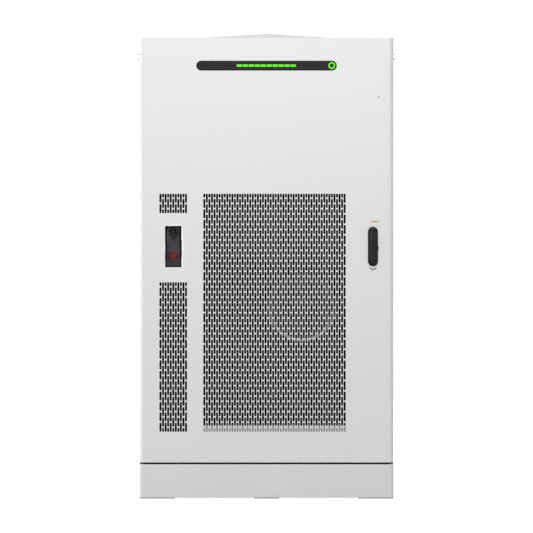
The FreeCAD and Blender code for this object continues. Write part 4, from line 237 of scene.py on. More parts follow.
def build_brushed_lines():
    """Fine drawn lines along one axis, for bare metal."""
    group, given = new_group("brushed_lines", stretch=(300.0, 300.0, 8.0), depth=0.00003)
    factors = enumerate((own_place(group), given["stretch"]))
    stretched = node(group, "ShaderNodeVectorMath", factors, operation="MULTIPLY").outputs[0]
    lines = noise(group, stretched, 1.0, 3.0, 0.6)
    return close_group(group, lines=lines, normal=relief(group, lines, given["depth"]))


def build_zinc_spangle():
    """Irregular crystal patches of hot-dip zinc."""
    group, given = new_group("zinc_spangle", scale=90.0, contrast=0.25)
    inputs = {"Vector": own_place(group), "Scale": given["scale"], "Randomness": 1.0}
    cells = node(group, "ShaderNodeTexVoronoi", inputs, feature="F1").outputs["Color"]
    level = node(group, "ShaderNodeSeparateColor", {0: cells}).outputs[0]
    centred = math_node(group, "SUBTRACT", level, 0.5)
    shade = math_node(group, "MULTIPLY_ADD", centred, given["contrast"], 1.0)
    return close_group(group, shade=shade, roughness=math_node(group, "MULTIPLY_ADD", centred, 0.16, 0.42))


GRAIN = build_surface_grain()
DUST_AND_SHEEN = build_dust_and_sheen_mask()
BRUSHED = build_brushed_lines()
SPANGLE = build_zinc_spangle()
# Colour of thin dust, and of a painted highlight where a large amount is given.
DUST_AND_SHEEN_COLOUR = (0.52, 0.5, 0.46, 1.0)


def new_material(name):
    """Material and its node tree."""
    material = bpy.data.materials.new(name)
    material.use_nodes = True
    return material, material.node_tree


def dressed(material, **inputs):
    """Material with the inputs of its shader set or linked."""
    shader = material.node_tree.nodes["Principled BSDF"]
    for key, value in inputs.items():
        feed(material.node_tree, shader.inputs[key.replace("_", " ")], value)
    return material


def group_node(tree, group, **values):
    """Outputs of a shared group with its own values."""
    return node(tree, "ShaderNodeGroup", values, node_tree=group).outputs


def coated(name, colour, roughness, dust_and_sheen=0.0, grain=(700.0, 0.00005), drift=(0.04, 3.0), shine=0.5, **more):
    """Painted or moulded surface with grain, drift and thin dust; a large amount paints its upward faces
    pale as a painted highlight.
    """
    material, tree = new_material(name)
    look = {"colour": (*colour, 1.0), "roughness": roughness, "drift": drift[0], "drift_scale": drift[1]}
    surface = group_node(tree, GRAIN, grain_scale=grain[0], grain_depth=grain[1], **look)
    tone = surface["colour"]
    rough = surface["roughness"]
    # Dust on level and low faces; at a large amount it paints upward faces pale, a painted highlight.
    if dust_and_sheen:
        mask = group_node(tree, DUST_AND_SHEEN, amount=dust_and_sheen)["mask"]
        tone = mix_colour(tree, mask, tone, DUST_AND_SHEEN_COLOUR)
        rough = math_node(tree, "MULTIPLY_ADD", mask, 0.3, rough)
    more["Specular_IOR_Level"] = shine
    return dressed(material, Base_Color=tone, Roughness=rough, Normal=surface["normal"], **more)


def bare_metal(name, colour, roughness, stretch=(300.0, 300.0, 8.0)):
    """Drawn or turned metal with fine lines."""
    material, tree = new_material(name)
    drawn = group_node(tree, BRUSHED, stretch=stretch)
    tone = shaded(tree, (*colour, 1.0), math_node(tree, "MULTIPLY_ADD", drawn["lines"], 0.3, 0.85))
    rough = math_node(tree, "MULTIPLY_ADD", drawn["lines"], 0.2, roughness - 0.1)
    return dressed(material, Base_Color=tone, Roughness=rough, Normal=drawn["normal"], Metallic=1.0)


def galvanised(name, colour):
    """Zinc-coated sheet with its spangle."""
    material, tree = new_material(name)
    spangle = group_node(tree, SPANGLE)
    tone = shaded(tree, (*colour, 1.0), spangle["shade"])
    return dressed(material, Base_Color=tone, Roughness=spangle["roughness"], Metallic=0.85)


def lit_green():
    """Glowing light guide, a little uneven."""
    material, tree = new_material("green_light")
    soft = noise(tree, own_place(tree), 60.0)
    glow = mix_colour(tree, soft, (0.1, 0.94, 0.0, 1.0), (0.13, 1.0, 0.001, 1.0))
    base = mix_colour(tree, soft, (0.01, 0.06, 0.0, 1.0), (0.02, 0.08, 0.0, 1.0))
    shell = {"Roughness": 0.35, "Specular_IOR_Level": 0.1}
    return dressed(material, Base_Color=base, Emission_Color=glow, Emission_Strength=1.0, **shell)


def clear_cover():
    """Clear moulded cover with a faint waviness and rubbed patches."""
    material, tree = new_material("clear_cover")
    place = own_place(tree)
    rubbed = noise(tree, place, 45.0, 5.0, 0.7)
    rough = math_node(tree, "MULTIPLY_ADD", rubbed, 0.1, 0.02)
    tone = mix_colour(tree, rubbed, (0.93, 0.94, 0.94, 1.0), (0.97, 0.97, 0.97, 1.0))
    waves = relief(tree, noise(tree, place, 30.0), 0.00006)
    glass = {"Transmission_Weight": 1.0, "IOR": 1.1}
    return dressed(material, Base_Color=tone, Roughness=rough, Normal=waves, **glass)


POWDER_GRAIN = (900.0, 0.00004)
MATERIALS = {
    "door_white": coated("door_powder_coat", (0.8, 0.8, 0.8), 0.42, 0.1, POWDER_GRAIN, drift=(0.02, 1.5)),
    "body_white": coated("body_powder_coat", (0.82, 0.82, 0.823), 0.44, 0.08, POWDER_GRAIN),
    "plinth_grey": coated("plinth_powder_coat", (0.78, 0.78, 0.782), 0.46, 0.12, POWDER_GRAIN),
    "frame_zinc": galvanised("frame_zinc", (0.62, 0.63, 0.64)),
    "bolt_steel": bare_metal("bolt_steel", (0.6, 0.6, 0.59), 0.35, (500.0, 500.0, 500.0)),
    "foot_black": coated("foot_paint", (0.012, 0.012, 0.012), 0.7, 0.1, (600.0, 0.0001)),
    # Near-black foam; the seam fill, the mats and the lining use it as painted shade.
    "seal_foam": coated("seal_foam", (0.007, 0.007, 0.007), 0.9, 0.0, (1500.0, 0.0003), (0.5, 200.0), 0.08),
    "display_black": coated("display_black", (0.0125, 0.0125, 0.013), 0.32, grain=(250.0, 4e-6), shine=0.1),
    "display_green": lit_green(),
    "switch_black": coated("switch_black", (0.007, 0.007, 0.0073), 0.5, grain=(1400.0, 0.00004), shine=0.12),
    "pocket_grey": coated("pocket_grey", (0.042, 0.042, 0.043), 0.6, grain=(1400.0, 0.00005), shine=0.2),
    "stop_red": coated("stop_red", (0.145, 0.005, 0.01), 0.4, grain=(800.0, 0.00002), shine=0.12),
    "cover_clear": clear_cover(),
    "lock_black": coated("lock_black", (0.0065, 0.0065, 0.0068), 0.4, grain=(1200.0, 0.00003), shine=0.16),
    "lock_steel": bare_metal("lock_steel", (0.58, 0.58, 0.57), 0.35),
    "gland_black": coated("gland_black", (0.015, 0.015, 0.015), 0.5, grain=(900.0, 0.00005)),
    "climate_dark": coated("climate_coat", (0.016, 0.0165, 0.0175), 0.5, 0.01, (700.0, 0.0001)),
    "coil_metal": coated("coil_coat", (0.006, 0.006, 0.0065), 0.5, 0.004, shine=0.15),
    "fan_black": coated("fan_black", (0.016, 0.016, 0.0165), 0.5, 0.006, (500.0, 0.00006), shine=0.15),
    "rack_steel": galvanised("rack_zinc", (0.58, 0.59, 0.6)),
    "module_case": coated("module_coat", (0.035, 0.038, 0.042), 0.5, 0.15),
    "link_orange": coated("link_sleeve", (0.75, 0.2, 0.015), 0.5, grain=(600.0, 0.00005)),
    "equipment_grey": coated("equipment_coat", (0.3, 0.31, 0.32), 0.45, 0.1, (500.0, 0.0001), Metallic=0.5),
    "panel_grey": coated("panel_plastic", (0.5, 0.5, 0.48), 0.45, 0.1),
    "canister_red": coated("canister_paint", (0.5, 0.02, 0.02), 0.25, grain=(200.0, 3e-5), Coat_Weight=0.5),
    "detector_white": coated("detector_plastic", (0.75, 0.75, 0.73), 0.4),
    "earth_copper": bare_metal("earth_copper", (0.72, 0.36, 0.2), 0.35, (8.0, 300.0, 300.0)),
}
SWITCH_BLACK = MATERIALS["switch_black"]
ROOF_WHITE = coated("roof_powder_coat", (0.86, 0.86, 0.863), 0.85, 0.08, shine=0.03)
STRIPE_AMBER = coated("stripe_amber", (0.56, 0.45, 0.025), 0.5, grain=(900.0, 0.00002))
KEY_BLACK = coated("key_black", (0.003, 0.003, 0.003), 0.7, grain=(1200.0, 0.00003), shine=0.03)
MARK_GREY = coated("mark_grey", (0.06, 0.06, 0.062), 0.5, grain=(900.0, 0.00002))
# Dark bell mouth whose large dust amount paints its upward-facing lower arc pale: a painted highlight where
# light falls from above.
BELL_PAINTED_HIGHLIGHT = coated("bell_painted_highlight", (0.02, 0.02, 0.021), 0.5, 2.4)
TERMINAL_GREEN = coated("terminal_green", (0.03, 0.24, 0.06), 0.4, grain=(900.0, 0.00003))

DOOR_FACE_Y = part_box("door_skin")[0].y
NODE_BODIES = {
    node_name: body_name
    for body_name, node_names in frame["record"]["behaviour"]["bodies"].items()
    for node_name in node_names
}
NODE_SLOTS = {part["node"]: part["material_slot"] for part in frame["record"]["subparts"]}


# Mesh helpers


def span(name):
    """Low corner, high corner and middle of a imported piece."""
    low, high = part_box(name)
    return low, high, (low + high) / 2


def recess_opening():
    """Low and high corners of the door's opening for the switches."""
    low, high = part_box("switch_pocket")
    flange = Vector((RECESS_FLANGE, 0, RECESS_FLANGE))
    return low + flange, high - flange


def finished(bm, name, slot, body="cabinet", replaces=(), material=None, sharp=35.0):
    """Piece from a bmesh: shaded, given its finish and set to ride on a body."""
    mesh = bpy.data.meshes.new(name)
    bm.to_mesh(mesh)
    bm.free()
    mesh.shade_smooth()
    mesh.set_sharp_from_angle(angle=math.radians(sharp))
    piece = bpy.data.objects.new(name, mesh)
    bpy.context.scene.collection.objects.link(piece)
    piece.data.materials.append(material or MATERIALS[slot])
    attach(piece, body)
    if replaces:
        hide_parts(*replaces)
    return piece


def assembled(name, slot, forms, body="cabinet", **options):
    """Piece made of forms, each a helper below with its values."""
    bm = bmesh.new()
    for form, *values in forms:
        form(bm, *values)
    finished(bm, name, slot, body, **options)


def only(items, kind):
    """Vertices, edges or faces among an operator's results."""
    return [item for item in items if isinstance(item, kind)]


def geometry_of(faces):
    """Faces with their edges and vertices."""
    return list({item for face in faces for item in (face, *face.edges, *face.verts)})


def move(bm, verts, way):
    """Shift vertices."""
    bmesh.ops.translate(bm, verts=verts, vec=way)


def turn(bm, verts, degrees, axis="Y"):
    """Turn vertices about an axis through the origin."""
    matrix = Matrix.Rotation(math.radians(degrees), 3, axis)
    bmesh.ops.rotate(bm, verts=verts, cent=(0, 0, 0), matrix=matrix)


def bevelled(bm, edges, width, segments=2):
    """Round over a set of edges."""
    return bmesh.ops.bevel(
        bm,
        geom=edges,
        offset=width,
        segments=segments,
        profile=0.5,
        affect="EDGES",
        material=-1,
        clamp_overlap=True,
    )


def block(bm, low, high, bevel=0.0, segments=2):
    """Block between two corners with bevelled edges."""
    low = Vector(low)
    high = Vector(high)
    made = bmesh.ops.create_cube(bm, size=1.0)["verts"]
    bmesh.ops.scale(bm, verts=made, vec=high - low)
    move(bm, made, (low + high) / 2)
    if bevel:
        edges = list({edge for vert in made for edge in vert.link_edges})
        made = bevelled(bm, edges, bevel, segments)["verts"]
    return made


def slab(bm, centre, half, front_y, back_y, bevel=0.0, segments=2):
    """Block about a centre in X and Z, with its half width and half height."""
    low = (centre[0] - half[0], front_y, centre[1] - half[1])
    return block(bm, low, (centre[0] + half[0], back_y, centre[1] + half[1]), bevel, segments)


def tilted(bm, low, high, degrees, axis, place, bevel=0.0, segments=2):
    """Block made about the origin, turned and put in its place."""
    made = block(bm, low, high, bevel, segments)
    turn(bm, made, degrees, axis)
    move(bm, made, place)


def row_of(count, pitch, middle):
    """Even places about a middle."""
    return [middle + (index - (count - 1) / 2) * pitch for index in range(count)]


def mm(*pairs):
    """Pairs of lengths given in millimetres."""
    return [(first / 1000, second / 1000) for first, second in pairs]


def turned(bm, profile, centre, axis="Y", steps=48):
    """Form turned about an axis through a centre, from (radius, distance) pairs."""
    along = Vector([float(letter == axis) for letter in "XYZ"])
    across = Vector((1, 0, 0)) if axis == "Z" else Vector((0, 0, 1))
    centre = Vector(centre)
    before = set(bm.faces)
    verts = [bm.verts.new(centre + across * radius + along * distance) for radius, distance in profile]
    edges = [bm.edges.new(pair) for pair in zip(verts, verts[1:])]
    bmesh.ops.spin(
        bm,
        geom=verts + edges,
        cent=centre,
        axis=along,
        dvec=(0, 0, 0),
        angle=2 * math.pi,
        steps=steps,
        use_merge=True,
        use_duplicate=False,
    )
    fresh = [face for face in bm.faces if face not in before]
    bmesh.ops.remove_doubles(bm, verts=list({vert for face in fresh for vert in face.verts}), dist=1e-6)
    bmesh.ops.recalc_face_normals(bm, faces=[face for face in fresh if face.is_valid])


def circle_degrees(count):
    """Even angles round a circle."""
    return [360 * index / count for index in range(count)]


def on_circle(degrees, radius=1.0):
    """Vector in X and Z at an angle."""
    return Vector((radius * math.cos(math.radians(degrees)), 0, radius * math.sin(math.radians(degrees))))


def obround(width, height, steps=10):
    """Outline of a long form with round ends, in X and Z about its middle."""
    radius = min(width, height) / 2
    reach = Vector((width / 2 - radius, 0, height / 2 - radius))
    start = 0 if height > width else -90
    points = []
    for end in (1, -1):
        points += [reach * end + on_circle(start + 180 * step / steps, radius) for step in range(steps + 1)]
        start += 180
    return points


def rounded_rectangle(width, height, radius, steps=5):
    """Outline of a rectangle with round corners, in X and Z about its middle."""
    points = []
    for index, (side_x, side_z) in enumerate(((1, 1), (-1, 1), (-1, -1), (1, -1))):
        centre = Vector((side_x * (width / 2 - radius), 0, side_z * (height / 2 - radius)))
        points += [centre + on_circle(90 * (index + step / steps), radius) for step in range(steps + 1)]
    return points


def plate(bm, outline, centre, front_y, back_y, crown=(), bevel=0.0, segments=3):
    """Plate with an outline in X and Z, its front crowned by steps of (inset, rise) or bevelled."""
    verts = [bm.verts.new(Vector((centre[0], back_y, centre[1])) + point) for point in outline]
    made = bmesh.ops.extrude_face_region(bm, geom=[bm.faces.new(verts)])["geom"]
    front = only(made, FACE)[0]
    move(bm, only(made, VERT), (0, front_y - back_y, 0))
    for inset, rise in crown:
        bmesh.ops.inset_individual(bm, faces=[front], thickness=inset, use_even_offset=True)
        move(bm, front.verts[:], (0, -rise, 0))
    bmesh.ops.recalc_face_normals(bm, faces=bm.faces)
    if bevel:
        bevelled(bm, front.edges[:], bevel, segments)
    return front


def softened(name, width, material=None):
    """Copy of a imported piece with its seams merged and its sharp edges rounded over."""
    bm = bmesh.new()
    bm.from_mesh(frame["nodes"][name].data)
    bmesh.ops.remove_doubles(bm, verts=bm.verts, dist=1e-6)
    bmesh.ops.dissolve_limit(
        bm,
        angle_limit=math.radians(FLAT_DEGREES),
        use_dissolve_boundaries=False,
        verts=bm.verts,
        edges=bm.edges,
    )
    if width:
        corner = math.radians(CORNER_DEGREES)
        sharp = [edge for edge in bm.edges if edge.is_manifold and edge.calc_face_angle(0.0) > corner]
        bevelled(bm, sharp, width)
    finished(bm, name + "_formed", NODE_SLOTS[name], NODE_BODIES[name], [name], material, sharp=25.0)


# Door sheet with its perforated fields


def flipped(outline):
    """Outline of a cell turned upside down."""
    return [(-across, HALF_ROW - up) for across, up in outline]


def sheet_face(bm, x, z, outline):
    """Flat face of the sheet from an outline about a place."""
    bm.faces.new([bm.verts.new((x + across, 0.0, z + up)) for across, up in outline])


def slot_halves(bm, x, z):
    """Sheet round one long slot, in a lower and an upper half."""
    half = COLUMN_PITCH / 2
    radius = SLOT_WIDTH / 2
    arc_z = SLOT_BRIDGE / 2 + radius
    angles = [math.pi * (1 + step / ROUND_STEPS) for step in range(ROUND_STEPS, -1, -1)]
    outline = [(-half, 0), (half, 0), (half, HALF_ROW), (radius, HALF_ROW)]
    outline += [(radius * math.cos(a), arc_z + radius * math.sin(a)) for a in angles]
    outline += [(-radius, HALF_ROW), (-half, HALF_ROW)]
    sheet_face(bm, x, z, outline)
    sheet_face(bm, x, z + HALF_ROW, flipped(outline))


def short_slot(bm, x, z):
    """Sheet round one short slot, in two halves that meet on a diagonal."""
    radius = SLOT_WIDTH / 2
    half = COLUMN_PITCH / 2
    top = HALF_ROW - SLOT_BRIDGE / 2 - radius
    quarter = ROUND_STEPS // 2
    angles = [math.pi / 2 * step / quarter for step in range(quarter + 1)]
    right = [(-half, 0.0), (half, 0.0), (half, HALF_ROW)]
    right += [(radius * math.sin(a), top + radius * math.cos(a)) for a in angles]
    right += [(radius * math.cos(a), HALF_ROW - top - radius * math.sin(a)) for a in angles]
    sheet_face(bm, x, z, right)
    sheet_face(bm, x, z, flipped(right))


def slot_column(bm, x, first, last, parity):
    """One column of staggered slots between two half rows."""
    row = first
    while row < last:
        whole = row % 2 == parity and row + 1 < last
        (slot_halves if whole else short_slot)(bm, x, ROWS[row])
        row += 2 if whole else 1


def cut_lines(bm, direction, values):
    """Cut the flat sheet along lines square to a direction."""
    for value in values:
        geometry = bm.verts[:] + bm.edges[:] + bm.faces[:]
        bmesh.ops.bisect_plane(bm, geom=geometry, dist=1e-7, plane_co=direction * value, plane_no=direction)


def drop_faces(bm, low_x, high_x, low_z, high_z):
    """Open a rectangle in the cut sheet."""
    middles = [(face, face.calc_center_median()) for face in bm.faces]
    inside = [face for face, mid in middles if low_x < mid.x < high_x and low_z < mid.z < high_z]
    bmesh.ops.delete(bm, geom=inside, context="FACES")


def make_door_sheet():
    """Folded door sheet: two slotted fields, the switch opening and round upright edges."""
    low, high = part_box("door_skin")
    low.z += SEAM_EASE
    open_low, open_high = recess_opening()
    half = high.x - EDGE_RADIUS
    edge_strip = half - EDGE_STRIP
    bm = bmesh.new()
    sheet_face(bm, 0, 0, [(-half, low.z), (half, low.z), (half, high.z), (-half, high.z)])
    main_x = [MAIN_FIRST_X + (column - 0.5) * COLUMN_PITCH for column in range(MAIN_COLUMNS + 1)]
    strip_x = [STRIP_FIRST_X + (column - 0.5) * COLUMN_PITCH for column in range(STRIP_COLUMNS + 1)]
    cut_lines(bm, Vector((1, 0, 0)), main_x + strip_x + [open_low.x, open_high.x, -edge_strip, edge_strip])
    cut_lines(bm, Vector((0, 0, 1)), ROWS + [open_low.z, open_high.z])
    drop_faces(bm, open_low.x, open_high.x, open_low.z, open_high.z)
    for lines, first, last, shift in (
        (main_x, 0, MAIN_HALF_ROWS, 1),
        (strip_x, 0, STRIP_LOWER_HALF_ROWS, 0),
        (strip_x, STRIP_UPPER_START, MAIN_HALF_ROWS, 0),
    ):
        drop_faces(bm, lines[0], lines[-1], ROWS[first], ROWS[last])
        for column in range(len(lines) - 1):
            slot_column(bm, lines[column] + COLUMN_PITCH / 2, first, last, (column + shift) % 2)
    bmesh.ops.remove_doubles(bm, verts=bm.verts, dist=2e-6)
    move(bm, bm.verts, (0, low.y, 0))
    for side in (-1, 1):
        fold_side(bm, side, half, low, high)
    notch_hinge_side(bm, low, high)
    for z in (low.z, high.z):
        close_end(bm, z)
    bmesh.ops.recalc_face_normals(bm, faces=bm.faces)
    bm.normal_update()
    if sum(face.normal.y * face.calc_area() for face in bm.faces if abs(face.normal.y) > 0.9) > 0:
        bmesh.ops.reverse_faces(bm, faces=bm.faces)
    bmesh.ops.solidify(bm, geom=bm.faces[:], thickness=SHEET)
    finished(bm, "door_sheet", "door_white", "door", ["door_skin"])


def fold_side(bm, side, half, low, high):
    """Round edge and side flange at one side of the sheet."""
    edges = [edge for edge in bm.edges if all(abs(vert.co.x - side * half) < 1e-6 for vert in edge.verts)]
    verts = list({vert for edge in edges for vert in edge.verts})
    made = bmesh.ops.spin(
        bm,
        geom=edges + verts,
        cent=(side * half, low.y + EDGE_RADIUS, 0),
        axis=(0, 0, 1),
        dvec=(0, 0, 0),
        angle=side * math.pi / 2,
        steps=EDGE_STEPS,
        use_merge=False,
        use_duplicate=False,
    )["geom_last"]
    for reach in (EDGE_STRIP, high.y - low.y - EDGE_RADIUS - EDGE_STRIP):
        made = bmesh.ops.extrude_edge_only(bm, edges=only(made, EDGE))["geom"]
        move(bm, only(made, VERT), (0, reach, 0))


def notch_hinge_side(bm, low, high):
    """Openings in the left flange that clear the hinge arms."""
    reach_x = low.x + HINGE_NOTCH_REACH
    cut_y = high.y - HINGE_NOTCH_DEPTH
    half = HINGE_NOTCH_HEIGHT / 2
    planes = [((0, cut_y, 0), (0, 1, 0))]
    planes += [((0, 0, z + side * half), (0, 0, 1)) for z in HINGE_HEIGHTS for side in (-1, 1)]
    for place, normal in planes:
        flange = geometry_of(face for face in bm.faces if face.calc_center_median().x < reach_x)
        bmesh.ops.bisect_plane(bm, geom=flange, dist=1e-7, plane_co=place, plane_no=normal)
    doomed = []
    for face in bm.faces:
        mid = face.calc_center_median()
        if mid.x < reach_x and mid.y > cut_y and any(abs(mid.z - z) < half for z in HINGE_HEIGHTS):
            doomed.append(face)
    bmesh.ops.delete(bm, geom=doomed, context="FACES")


def close_end(bm, z):
    """Flat end of the folded sheet, across its round corners."""
    rim = [vert for vert in bm.verts if abs(vert.co.z - z) < 1e-6]
    left = sorted([v for v in rim if v.co.x < 0], key=lambda v: (round(v.co.x, 6), -v.co.y))
    right = sorted([v for v in rim if v.co.x >= 0], key=lambda v: (round(v.co.x, 6), v.co.y))
    bm.faces.new(left + right)


# Display, switches and handle


def make_display():
    """Black display strip with a raised rim, ten light bars, a lit ring and its button."""
    low, high, mid = span("display_bezel")
    width = high.x - low.x
    height = high.z - low.z
    rim = 0.0036
    ledge = 0.0004
    recess = 0.0005
    depth = 0.006
    round_steps = 18
    bm = bmesh.new()
    front = plate(bm, obround(width, height, round_steps), (mid.x, mid.z), low.y, low.y + depth)
    for inset in (rim, ledge):
        bmesh.ops.inset_individual(bm, faces=[front], thickness=inset)
    move(bm, front.verts[:], (0, recess, 0))
    bmesh.ops.recalc_face_normals(bm, faces=bm.faces)
    sharp = [edge for edge in bm.edges if edge.calc_face_angle(0.0) > 1.2]
    bevelled(bm, [edge for edge in sharp if all(v.co.y < low.y + 1e-5 for v in edge.verts)], ledge)
    finished(bm, "display_strip", "display_black", "door", ["display_bezel"], SWITCH_BLACK)
    floor_y = low.y + recess
    margin = 2 * rim + 0.001
    outline = obround(width - margin, height - margin, round_steps)
    panel = [(plate, outline, (mid.x, mid.z), floor_y - 0.0002, floor_y + 0.0004)]
    assembled("display_panel", "display_black", panel, "door")

    count = 10
    pitch = 0.02587
    bar = rounded_rectangle(0.0236, 0.0102, 0.0025)
    button = span("power_button")[2]
    place = (button.x - 0.0007, floor_y, button.z)
    lights = []
    for x in row_of(count, pitch, BARS_MIDDLE_X):
        lights.append((plate, bar, (x, mid.z), floor_y - 0.0003, floor_y + 0.0008, (), 0.0002, 2))
    ring = mm((8.6, 0.8), (8.6, -0.2), (9.1, -0.8), (14.2, -0.8), (14.8, -0.2), (14.8, 0.8))
    lights.append((turned, ring + ring[:1], place, "Y", 64))
    assembled("charge_lights", "display_green", lights, "door", replaces=["display_lights"])
    cap = mm((0, -0.1), (5, -0.3), (7.2, -0.8), (8, -0.4), (8, 4), (0, 4))
    forms = [(turned, cap, place)]
    assembled("power_button_cap", "display_black", forms, "power_button", replaces=["power_button"])


def make_switch_pocket():
    """Recessed switch box with its flange, pedestal and fixing screws."""
    low, high, mid = span("switch_pocket")
    inner_low, inner_high = recess_opening()
    wall = 0.0015
    floor_y = high.y - wall
    bm = bmesh.new()
    corners = [(inner_low.x, inner_low.z), (inner_high.x, inner_low.z)]
    corners += [(inner_high.x, inner_high.z), (inner_low.x, inner_high.z)]
    back = bm.faces.new([bm.verts.new((x, floor_y, z)) for x, z in corners])
    rim = bmesh.ops.extrude_edge_only(bm, edges=back.edges[:])["geom"]
    move(bm, only(rim, VERT), (0, low.y - floor_y, 0))
    outer = bmesh.ops.extrude_edge_only(bm, edges=only(rim, EDGE))["geom"]
    for vert in only(outer, VERT):
        vert.co.x += math.copysign(RECESS_FLANGE, vert.co.x - mid.x)
        vert.co.z += math.copysign(RECESS_FLANGE, vert.co.z - mid.z)
    bmesh.ops.recalc_face_normals(bm, faces=bm.faces)
    if back.normal.y > 0:
        bmesh.ops.reverse_faces(bm, faces=bm.faces)
    bmesh.ops.solidify(bm, geom=bm.faces[:], thickness=wall)
    finished(bm, "switch_recess", "switch_black", "door", ["switch_pocket"])
    width, height = PEDESTAL_SIZE
    screw_inset = 0.006
    front_y = DOOR_FACE_Y + PEDESTAL_FRONT
    plate_x = mid.x - 0.0008
    outline = rounded_rectangle(width, height, 0.003)
    forms = [(plate, outline, (plate_x, mid.z), front_y + 0.0008, floor_y + 0.0001, mm((0.8, 0.8)))]
    head = mm((0, -1.2), (2, -1), (2.6, 0.2), (0, 0.2))
    for x in (plate_x - width / 2 + screw_inset, plate_x + width / 2 - screw_inset):
        for z in (mid.z - height / 2 + screw_inset, mid.z + height / 2 - screw_inset):
            forms.append((turned, head, (x, front_y, z), "Y", 16))
    assembled("switch_plate", "pocket_grey", forms, "door")


def make_switches():
    """Collars, selector knob and domed emergency stop."""
    stop_low, stop_high, stop = span("stop_button")
    knob_low, knob_high, knob = span("selector_knob")
    pedestal_y = DOOR_FACE_Y + PEDESTAL_FRONT
    selector_z = stop.z + SELECTOR_RISE
    collar = mm((9.5, 0), (9.5, -4.2), (10.5, -5), (14.8, -5), (16, -3.8), (16, 0))
    ring = mm((0, 0), (0, -4.6), (15.5, -5), (18.3, -5), (19.5, -3.6), (19.5, 0))
    forms = [
        (turned, collar, (stop.x, pedestal_y, stop.z)),
        (turned, ring, (stop.x, pedestal_y, selector_z), "Y", 56),
    ]
    assembled("switch_collars", "switch_black", forms, "door", replaces=["switch_bodies"])

    dome = mm((0, 0), (15.8, 0), (16.2, -2.8), (18.6, -3.4), (19, -4.6), (18.9, -6.2))
    dome += mm((18.2, -8.4), (16.8, -10.2), (14.6, -11.7), (11.8, -12.7))
    dome += mm((9, -13), (8.4, -12.7), (0, -12.5))
    dome = [(radius, max(distance, stop_low.y - stop_high.y)) for radius, distance in dome]
    forms = [(turned, dome, (stop.x, stop_high.y, stop.z), "Y", 64)]
    assembled("stop_dome", "stop_red", forms, "stop_button", replaces=["stop_button"])

    disc = mm((0, 0), (15.6, 0), (16, -0.6), (16, -7.2), (15.2, -8), (0, -8))
    grip = obround(0.018, knob_high.z - knob_low.z)
    crown = mm((0.7, 1.2), (1.2, 1))
    forms = [
        (turned, disc, (stop.x, knob_high.y, selector_z), "Y", 56),
        (plate, grip, (stop.x, knob.z), knob_low.y + 0.0022, knob_high.y - 0.0002, crown),
    ]
    assembled("selector_grip", "switch_black", forms, "selector", replaces=["selector_knob"])
    line = rounded_rectangle(0.0011, 0.009, 0.0005, 3)
    forms = [(plate, line, (stop.x, knob_low.z + 0.0075), knob_low.y - 0.00005, knob_low.y + 0.0004)]
    assembled("selector_line", "pocket_grey", forms, "selector")


def make_window_cover():
    """Clear hinged cover with a raised border, a ribbed finger tab and two knuckles."""
    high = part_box("window_cover")[1]
    overlap = Vector((0.0025, 0, 0.0025))
    pane_low, pane_high = recess_opening()
    pane_low -= overlap
    pane_high += overlap
    pane = (pane_low + pane_high) / 2
    rear_y = DOOR_FACE_Y - 0.001
    front_y = rear_y - 0.002
    tab_width = high.x - pane_high.x + 0.003
    tab_x = high.x - tab_width / 2
    tab_z = pane.z - 0.0085
    outline = rounded_rectangle(pane_high.x - pane_low.x, pane_high.z - pane_low.z, 0.003, 6)
    border = mm((0.4, 0.4), (1.6, 0), (0.5, -0.5))
    tab = rounded_rectangle(tab_width, 0.074, 0.003, 6)
    forms = [
        (plate, outline, (pane.x, pane.z), front_y + 0.0004, rear_y, border),
        (plate, tab, (tab_x, tab_z), front_y + 0.0004, rear_y - 0.0001, mm((0.6, 0.4))),
    ]
    rib_half = (0.0025, 0.0009)
    for z in row_of(5, 0.009, tab_z):
        forms.append((slab, (high.x - 0.0037, z), rib_half, front_y - 0.0002, front_y + 0.001, 0.0003, 1))
    assembled("clear_window", "cover_clear", forms, "window_cover", replaces=["window_cover"])
    hinge_x = pane_low.x - 0.0033
    barrel = mm((1.3, -20), (2.7, -20), (3, -19.7), (3, 19.7), (2.7, 20), (1.3, 20))
    hinge_y = DOOR_FACE_Y - 0.0033
    knuckle_reach = 0.052
    leaf_half = 0.0195
    forms = []
    for z in (pane.z - knuckle_reach, pane.z + knuckle_reach):
        leaf_low = (hinge_x + 0.0012, front_y, z - leaf_half)
        forms.append((turned, barrel + barrel[:1], (hinge_x, hinge_y, z), "Z", 24))
        forms.append((block, leaf_low, (pane_low.x - 0.0001, rear_y, z + leaf_half), 0.0003, 1))
    assembled("cover_knuckles", "body_white", forms, "window_cover")


